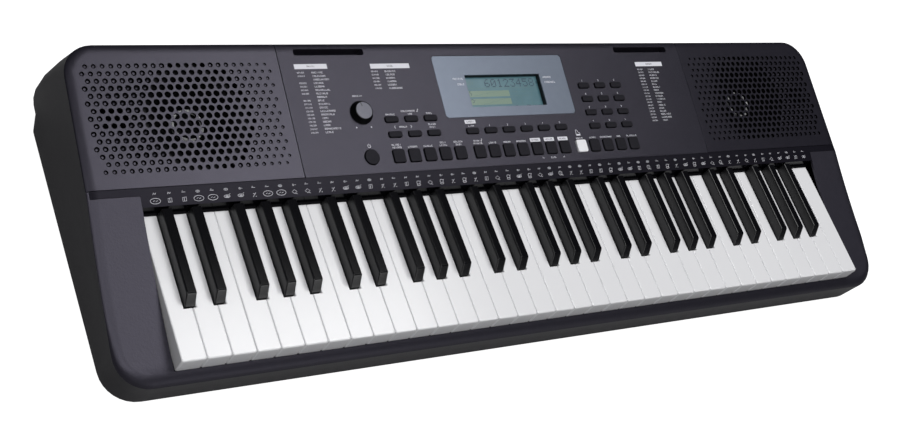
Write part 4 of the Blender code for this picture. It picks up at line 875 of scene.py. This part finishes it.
STYLE_X = [-151.8 + 18.4 * i for i in range(5)]
VOICE_X = [-54.4 + 18.4 * i for i in range(7)]
FUNCTION_X = [97.3 + 18.4 * i for i in range(4)]
MIXER_X = [-150.0 + 23.0 * i for i in range(3)]
MEMORY_X = [-56.9 + 23.0 * i for i in range(6)]
PIANO_X, POWER_X = 78.8, -182.6
FIRST_LABEL, SECOND_LABEL = 25.3, 28.2
MIXER_LABEL, MIXER_TITLE = 60.3, 63.4
LIST_PITCH, LIST_INDENT = 3.66, 16.5
centred_words = [
    (MIXER_X[0], MIXER_LABEL, 6), (MIXER_X[1] - 1.5, MIXER_TITLE, 9), (MIXER_X[1], MIXER_LABEL, 3),
    (MIXER_X[2], MIXER_LABEL, 4), ((MIXER_X[0] + MIXER_X[1]) / 2, 46.8, 5), (MIXER_X[2], 48.3, 5),
    (MIXER_X[2], 45.2, 4),
    (STYLE_X[0], FIRST_LABEL, 6), (STYLE_X[0], SECOND_LABEL, 6), (STYLE_X[1], FIRST_LABEL, 6),
    (STYLE_X[2], FIRST_LABEL, 6), (STYLE_X[3], FIRST_LABEL, 5), (STYLE_X[3], SECOND_LABEL, 4),
    (STYLE_X[4], FIRST_LABEL, 4), (STYLE_X[4], SECOND_LABEL, 6),
    (MEMORY_X[0], 44.6, 4),
    (VOICE_X[0], FIRST_LABEL, 6), (VOICE_X[0] - 1, SECOND_LABEL, 4), (VOICE_X[1], FIRST_LABEL, 5),
    (VOICE_X[2], FIRST_LABEL, 5), (VOICE_X[3], FIRST_LABEL, 7), (VOICE_X[5], 5.4, 4),
    (PIANO_X, FIRST_LABEL, 5), (FUNCTION_X[0], FIRST_LABEL, 5), (FUNCTION_X[1], FIRST_LABEL, 9),
    (FUNCTION_X[2], FIRST_LABEL, 3), (FUNCTION_X[3], FIRST_LABEL, 8), (-182.4, 81.0, 6),
]
words = [(*word, 0.5) for word in centred_words]
dice = random.Random(61)
number_ranges = []
lists = ((-242.5, 106.6, 18, 10, (2, 7)), (-159.5, 106.8, 6, 9, ()), (189.8, 103.9, 18, 9, ()))
for left, top_s, lines, longest, unnumbered in lists:
    first = 1
    for line in range(lines):
        s = top_s - line * LIST_PITCH
        words.append((left + LIST_INDENT, s, dice.randint(4, longest), 0))
        if line not in unnumbered:
            last = first + dice.randint(3, 28)
            number_ranges.append((f"{first:03d}-{last:03d}", left, s))
            first = last + 1
print_words("panel_words", words, INK_WHITE, PANEL)

signs = bmesh.new()
for figures, left, s in number_ranges:
    add_text(signs, figures, (left, s), 1.7, "LEFT")
for row, figures in enumerate(("<0>", "789", "456", "123")):
    for column, figure in enumerate(figures):
        add_text(signs, figure, (105 + 22.8 * column, 44.5 + 15.75 * row), 2.3)
for column in range(1, 6):
    add_text(signs, str(column), (MEMORY_X[column], 44.3), 2.1)
for x, turn in ((MIXER_X[0] + 2, -1), (MIXER_X[1] - 2, 1)):
    add_stroke(signs, [(x - turn * 0.7, 48.3), (x + turn * 0.7, 46.8), (x - turn * 0.7, 45.3)], 0.4)
add_note(signs, MIXER_X[1] + 9.3, MIXER_TITLE + 0.3)
add_note(signs, VOICE_X[0] + 4.8, SECOND_LABEL + 0.4)
for x in (-191.5, -174.8):
    add_dot(signs, (x, 47.9), 0.75)
add_stroke(signs, arc((POWER_X, 28.3), 1.7, 122, 418), 0.42)
add_stroke(signs, [(POWER_X, 28.4), (POWER_X, 30.6)], 0.42)
for x, turn in ((VOICE_X[4] + 4, 1), (VOICE_X[6] - 4, -1)):
    add_stroke(signs, [(x, 6.6), (x, 5.2), (x + turn * 2.2, 5.2)], 0.35)
lid = [(-2.6, -1.6), (-2.6, 2.6), (-2.0, 3.4), (-0.9, 3.4), (-0.2, 2.4), (0.6, 0.8), (2.2, 0.1), (2.6, -0.6),
       (2.6, -1.6)]
add_stroke(signs, [(PIANO_X + x, 31.4 + s) for x, s in lid], 0.5, closed=True)
add_patch(signs, (PIANO_X, 29.0), (5.4, 1.5))
printed("panel_signs", signs, INK_WHITE, PANEL)

tags = bmesh.new()
headings = ((-226.0, 113.1, 36.0, 5), (-136.0, 112.5, 46.0, 4), (209.0, 110.4, 40.0, 5))
small_tags = [(x, 25.9) for x in VOICE_X[4:]] + [(MEMORY_X[0], 49.2)]
for x, s, width, letters in headings:
    add_patch(tags, (x, s), (width, 5.2))
for at in small_tags:
    add_patch(tags, at, (13.4, 4.1), 0.7)
printed("panel_tags", tags, INK_WHITE, PANEL)
tag_words = [(x, s, letters, 0.5) for x, s, width, letters in headings]
tag_words += [(*at, 5, 0.5) for at in small_tags]
print_words("tag_words", tag_words, INK_DARK, PANEL, lift=INK_THICKNESS)

plate_words = [(-52.5, 96.9, 6, 1), (-52.5, 90.8, 4, 1), (53.5, 96.9, 5, 0), (53.5, 91.2, 7, 0)]
print_words("plate_words", plate_words, INK_WHITE, PANEL, 2.0, 2.2)


# Strip printing: one sign for every key, with a smaller mark behind it. They are plain rings, bars,
# crosses and squares printed in white on the strip.

ICON_COUNT = 61
ICON_PITCH = 822.5 / 60
ICON_FIRST = -411.25
SIGN_SCALE = 1.4 * MM
SIGN_Y = 3.0 * MM
MARK_Y = 9.4 * MM
LARGE_KINDS, SMALL_KINDS = 7, 4


def line_sign(tree, given, points):
    """Small line signs, chosen by the points' kind attribute."""
    nib = flow(tree, "GeometryNodeCurvePrimitiveQuadrilateral", {
        "Width": given["Line Width"], "Height": given["Ink"]})

    def spot(x, y):
        return x * SIGN_SCALE, y * SIGN_SCALE, 0

    def drawn(curve, stretch=(1, 1), at=(0, 0), turn=0.0):
        moved = flow(tree, "GeometryNodeTransform", {
            "Geometry": curve, "Scale": (*stretch, 1), "Translation": spot(*at),
            "Rotation": (0, 0, math.radians(turn))})
        return flow(tree, "GeometryNodeCurveToMesh", {
            "Curve": moved, "Profile Curve": nib, "Fill Caps": True})

    def ring(radius, stretch=(1, 1), sides=14, **settings):
        return drawn(flow(tree, "GeometryNodeCurvePrimitiveCircle", {
            "Resolution": sides, "Radius": radius * SIGN_SCALE}), stretch, **settings)

    def bar(x, y, end_x, end_y):
        return drawn(flow(tree, "GeometryNodeCurvePrimitiveLine", {
            "Start": spot(x, y), "End": spot(end_x, end_y)}))

    drawings = [
        [ring(2.3, (1.5, 0.8)), bar(-1.5, -0.2, -0.3, 0.4), bar(0.2, -0.4, 1.6, 0.2)],
        [ring(2.0, (0.95, 0.85), sides=4, turn=45), bar(-0.2, -1.2, -0.2, 1.2)],
        [ring(1.5, (1.4, 0.6)), bar(-1.2, -0.3, 1.2, -0.3), bar(-0.6, 0.2, 0.8, 0.2),
         bar(1.6, 1.1, 2.5, 1.7)],
        [ring(1.7, (1.1, 0.8), sides=4), bar(0.6, -1.0, 2.0, -1.7)],
        [bar(-1.2, -1.6, 1.2, 1.2), bar(-1.0, 0.6, 0.2, 0.6), bar(0.6, -1.4, 1.4, -1.4)],
        [ring(1.5, at=(-0.4, 0.2)), bar(-1.0, 0.2, 0.3, 0.2), bar(0.6, -1.2, 2.0, -1.6)],
        [ring(1.4, (1.0, 0.8), at=(0, 0.5)), ring(1.2, (1.2, 0.5), at=(0, -1.2)), bar(1.2, 0.8, 2.0, 1.6)],
        [ring(0.55), bar(1.2, 0, 1.9, 0)],
        [bar(-1.3, 0, 1.3, 0), bar(-0.9, 0.75, -0.2, 0.75)],
        [ring(1.0, (1.3, 0.7)), bar(-0.6, 0, 0.6, 0)],
        [bar(-1.0, -0.6, -0.4, 0.6), bar(-0.4, 0.6, 0.5, -0.4), bar(0.5, -0.4, 1.2, 0.6)],
    ]
    shapes = [gathered(tree, "GeometryNodeJoinGeometry", parts) for parts in reversed(drawings)]
    kind = flow(tree, "GeometryNodeInputNamedAttribute", {"Name": "kind"}, data_type="INT")
    return points, {"Instance": gathered(tree, "GeometryNodeGeometryToInstance", shapes),
                    "Pick Instance": True, "Instance Index": kind}


def lying_on(piece, y):
    """A place on top of a piece at x = 0, with Z along the surface's normal."""
    bpy.context.view_layer.update()
    at, normal = piece.ray_cast(Vector((0, y, 1)), Vector((0, 0, -1)))[1:3]
    return Matrix.Translation(at) @ Matrix.Rotation(math.atan2(-normal.y, normal.z), 4, "X")


def print_signs(name, kinds, place):
    places = [(ICON_FIRST + i * ICON_PITCH, 0, 0.02) for i in range(ICON_COUNT)]
    piece = run_tree(point_cloud(name, places, kind=kinds), SIGNS, Finish=INK_WHITE)
    piece.data.transform(place)
    mount(piece, INK_WHITE)


SIGNS = stamp_tree("strip_signs", "Signs", {"Line Width": 0.42 * MM, "Ink": INK_THICKNESS * MM}, line_sign)
large_signs = [0, 1, 1, 0, 0, 2, 2, 4, 0, 0, 3]
large_signs += [1 + dice.randrange(LARGE_KINDS - 1) for _ in range(ICON_COUNT - len(large_signs))]
print_signs("strip_signs", large_signs, lying_on(strip, SIGN_Y))
small_marks = [LARGE_KINDS + dice.randrange(SMALL_KINDS) for _ in range(ICON_COUNT)]
print_signs("strip_marks", small_marks, lying_on(strip, MARK_Y))


# Keys: hollow white and black mouldings with glossy tops and satin sides, hinged at the rear under the
# strip. Five octaves: combs in the outer four, single keys in the middle one and at the top.

WHITE_EDGE = 0.26 * MM
WHITE_SPREAD = 0.40 * MM
BLACK_EDGE = 0.9 * MM


def key_plastic(name, dark, light, gloss, satin, top_shine, edge_shine):
    """Moulded key plastic: polished on top and in front, and satin on its flanks.

    The flat top reflects less than the rounded edges and the sides.
    """
    made, tree, shader = new_finish(name, satin)
    mottle = with_grain(tree, Mottle_Size=40 * MM)[1]
    facing = add_node(tree, "ShaderNodeSeparateXYZ", {
        0: add_node(tree, "ShaderNodeTexCoord").outputs["Normal"]}).outputs
    sideways = flow(tree, "ShaderNodeMath", {0: facing["X"]}, operation="ABSOLUTE")
    feed(shader, {"Roughness": spread(tree, sideways, gloss, satin, 0.3, 0.8),
                  "Specular IOR Level": spread(tree, facing["Z"], edge_shine, top_shine, 0.90, 0.98),
                  "Base Color": mix_colours(tree, mottle, dark, light)})
    return made


KEY_WHITE = key_plastic("key_white", (0.735, 0.735, 0.755), (0.765, 0.765, 0.78), 0.20, 0.42, 0.5, 0.5)
KEY_BLACK = key_plastic("key_black", (0.0030, 0.0030, 0.0040), (0.0045, 0.0045, 0.0055), 0.16, 0.42, 0.04,
                        0.5)


def widened(piece, reach):
    """Move the flanks of a piece outwards, so that the slit beside it is as narrow as a real one."""
    bm = bmesh.new()
    bm.from_mesh(piece.data)
    for vert in bm.verts:
        out = {round(face.normal.x) for face in vert.link_faces if abs(face.normal.x) > 0.9}
        vert.co.x += sum(out) * reach
    bm.to_mesh(piece.data)
    bm.free()
    return piece


for node in NODES:
    if node.endswith("_sharp") or node.endswith("black_comb"):
        dressed(node, KEY_BLACK, BLACK_EDGE, 3)
    elif node.startswith("octave_") or node == "top_key_c":
        key = even_normals(soften(widened(plain_copy(node), WHITE_SPREAD), WHITE_EDGE))
        mount(key, KEY_WHITE, BODY_OF[node], [node])


# Inside: a grey key frame with the contact board and its rubber, green circuit boards, the volume control
# and the battery box. They are screwed to posts in the tub.

FRAME_PLASTIC = moulded_plastic("frame_plastic", (0.10, 0.10, 0.11), (0.12, 0.12, 0.13), 0.5)
BOARD_LACQUER = moulded_plastic("board_lacquer", (0.018, 0.085, 0.035), (0.022, 0.10, 0.042), 0.35, 0.4 * MM,
                                0.01 * MM)
CONTACT_RUBBER = plain_finish("contact_rubber", (0.24, 0.24, 0.25), 0.7)
PLAIN_STEEL = plain_finish("plain_steel", (0.55, 0.55, 0.56), 0.3, Metallic=1.0)
for node in ("key_frame", "battery_box"):
    dressed(node, FRAME_PLASTIC, 0.15 * MM, 1)
for node in ("contact_board", "panel_board", "main_board"):
    dressed(node, BOARD_LACQUER, 0.15 * MM, 1)
dressed("contact_rubber", CONTACT_RUBBER, 0.15 * MM, 1)
dressed("volume_pot", PLAIN_STEEL, 0.15 * MM, 1)


# Rear sockets: black moulded jacks behind round holes in the tub, each with a nickel ring at its mouth,
# a USB shell and a low-voltage inlet. Plain signs are printed above them.

SOCKET_BLACK = plain_finish("socket_black", (0.012, 0.012, 0.013), 0.4)
REAR_WALL_Y = 151.5 * MM
REAR_LEAN = 3.4 / 67.8
SEAM_TOP_Z = 103.3 * MM
JACK_Z = 51.3 * MM
SIGN_Z = 64 * MM
HEADPHONES, PEDAL, INLET = 30.0, 70.0, 115.0
RING_PROFILE = [(3.5, 0.35), (4.6, 0.35), (4.8, 0.1), (4.8, 0), (3.5, 0), (3.5, 0.35)]
for node in ("dc_inlet", "sustain_jack", "headphone_jack", "usb_socket"):
    dressed(node, SOCKET_BLACK, 0.2 * MM)
for node in ("sustain_jack", "headphone_jack"):
    low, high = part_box(node)
    mouth = (Matrix.Translation(((low.x + high.x) / 2, high.y, JACK_Z))
             @ Matrix.Rotation(-math.pi / 2, 4, "X"))
    mount(turned(node + "_ring", RING_PROFILE, mouth, 32), PLAIN_STEEL)
out = Vector((0, 1, REAR_LEAN)).normalized()
rise = Vector((0, -REAR_LEAN, 1)).normalized()
rear_plane = (Matrix.Translation((0, REAR_WALL_Y + REAR_LEAN * (SEAM_TOP_Z - SIGN_Z), SIGN_Z))
              @ Matrix(((-1, 0, 0), rise, out)).transposed().to_4x4())
rear_signs = bmesh.new()
add_stroke(rear_signs, arc((HEADPHONES, 0), 2.4, 0, 180), 0.4)
for side in (-1, 1):
    add_patch(rear_signs, (HEADPHONES + side * 2.4, -0.9), (1.1, 2.0), 0.4)
add_stroke(rear_signs, [(PEDAL - 2.8, -1.6), (PEDAL + 2.8, -1.6)], 0.45)
add_stroke(rear_signs, [(PEDAL - 2.4, -1.2), (PEDAL + 2.2, 1.2)], 0.7)
add_stroke(rear_signs, arc((INLET, 0), 1.6, 0, 324, 9), 0.4, closed=True)
add_dot(rear_signs, (INLET, 0), 0.55)
for near, far in ((-4.6, -2.2), (2.2, 4.6)):
    add_stroke(rear_signs, [(INLET + near, 0), (INLET + far, 0)], 0.4)
printed("rear_signs", rear_signs, INK_WHITE, rear_plane)


# Underside: countersunk cross-head screws that hold the tub to the top, a sliding battery cover with grip
# ribs, four round rubber feet and a plain pale label.

UNDERSIDE_Z = 3.3 * MM
SCREW_SINK = 0.5
SCREW_ROWS = {-400: (-90, 60), -250: (-138, 100), -90: (-138, 90), 90: (-138, 20), 250: (-138, 100),
              400: (-90, 60)}
LABEL_THICKNESS = 0.1
FOOT_RUBBER = moulded_plastic("foot_rubber", (0.014, 0.014, 0.015), (0.018, 0.018, 0.019), 0.7)
SCREW_STEEL = plain_finish("screw_steel", (0.05, 0.05, 0.055), 0.35, Metallic=1.0)
LABEL_PALE = plain_finish("label_pale", (0.45, 0.45, 0.46), 0.45)
for node in ("front_left_foot", "front_right_foot", "rear_left_foot", "rear_right_foot"):
    dressed(node, FOOT_RUBBER, 0.5 * MM, 3)
dressed("battery_cover", TUB_BLACK, 0.3 * MM)


def cross_head(tree, given, points):
    """A screw head, face down, with its cross recess cut in."""
    head = flow(tree, "GeometryNodeMeshCylinder", {
        "Vertices": 24, "Radius": given["Head Radius"], "Depth": given["Head Height"]})
    for size in ((3.6 * MM, 0.8 * MM, 1.4 * MM), (0.8 * MM, 3.6 * MM, 1.4 * MM)):
        blade = flow(tree, "GeometryNodeTransform", {
            "Geometry": flow(tree, "GeometryNodeMeshCube", {"Size": size}),
            "Translation": (0, 0, -0.6 * MM)})
        head = flow(tree, "GeometryNodeMeshBoolean", {0: head, 1: blade}, operation="DIFFERENCE",
                    solver="EXACT")
    return points, {"Instance": head}


SCREWS = stamp_tree("screws", "Screws", {"Head Radius": 3.1 * MM, "Head Height": 1.1 * MM}, cross_head)
screw_places = [(x, y, UNDERSIDE_Z / MM - SCREW_SINK) for x, ys in SCREW_ROWS.items() for y in ys]
screws = run_tree(point_cloud("case_screws", screw_places), SCREWS, Finish=SCREW_STEEL)
mount(even_normals(screws), SCREW_STEEL)

below = Matrix.Rotation(math.pi, 4, "X")
low, high = (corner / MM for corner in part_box("battery_cover"))
middle_x = (low.x + high.x) / 2
arrow_s = -low.y - 14
grip = bmesh.new()
for rib in range(6):
    add_patch(grip, (middle_x, 9 + 2.6 * rib - high.y), (34, 1.1), 0.5)
add_stroke(grip, [(middle_x - 4, arrow_s - 3), (middle_x, arrow_s + 2), (middle_x + 4, arrow_s - 3)], 1.4)
printed("cover_ribs", grip, TUB_BLACK, Matrix.Translation((0, 0, low.z * MM)) @ below, 0.5,
        BODY_OF["battery_cover"])

label = bmesh.new()
add_patch(label, (-20, 0), (70, 34), 2)
below_case = Matrix.Translation((0, 0, UNDERSIDE_Z)) @ below
printed("rating_label", label, LABEL_PALE, below_case, LABEL_THICKNESS)
label_words = [(-50 + 22 * column, 11 - 5.5 * row, dice.randint(5, 9), 0)
               for column in range(3) for row in range(5)]
print_words("label_words", label_words, INK_DARK, below_case, lift=LABEL_THICKNESS)
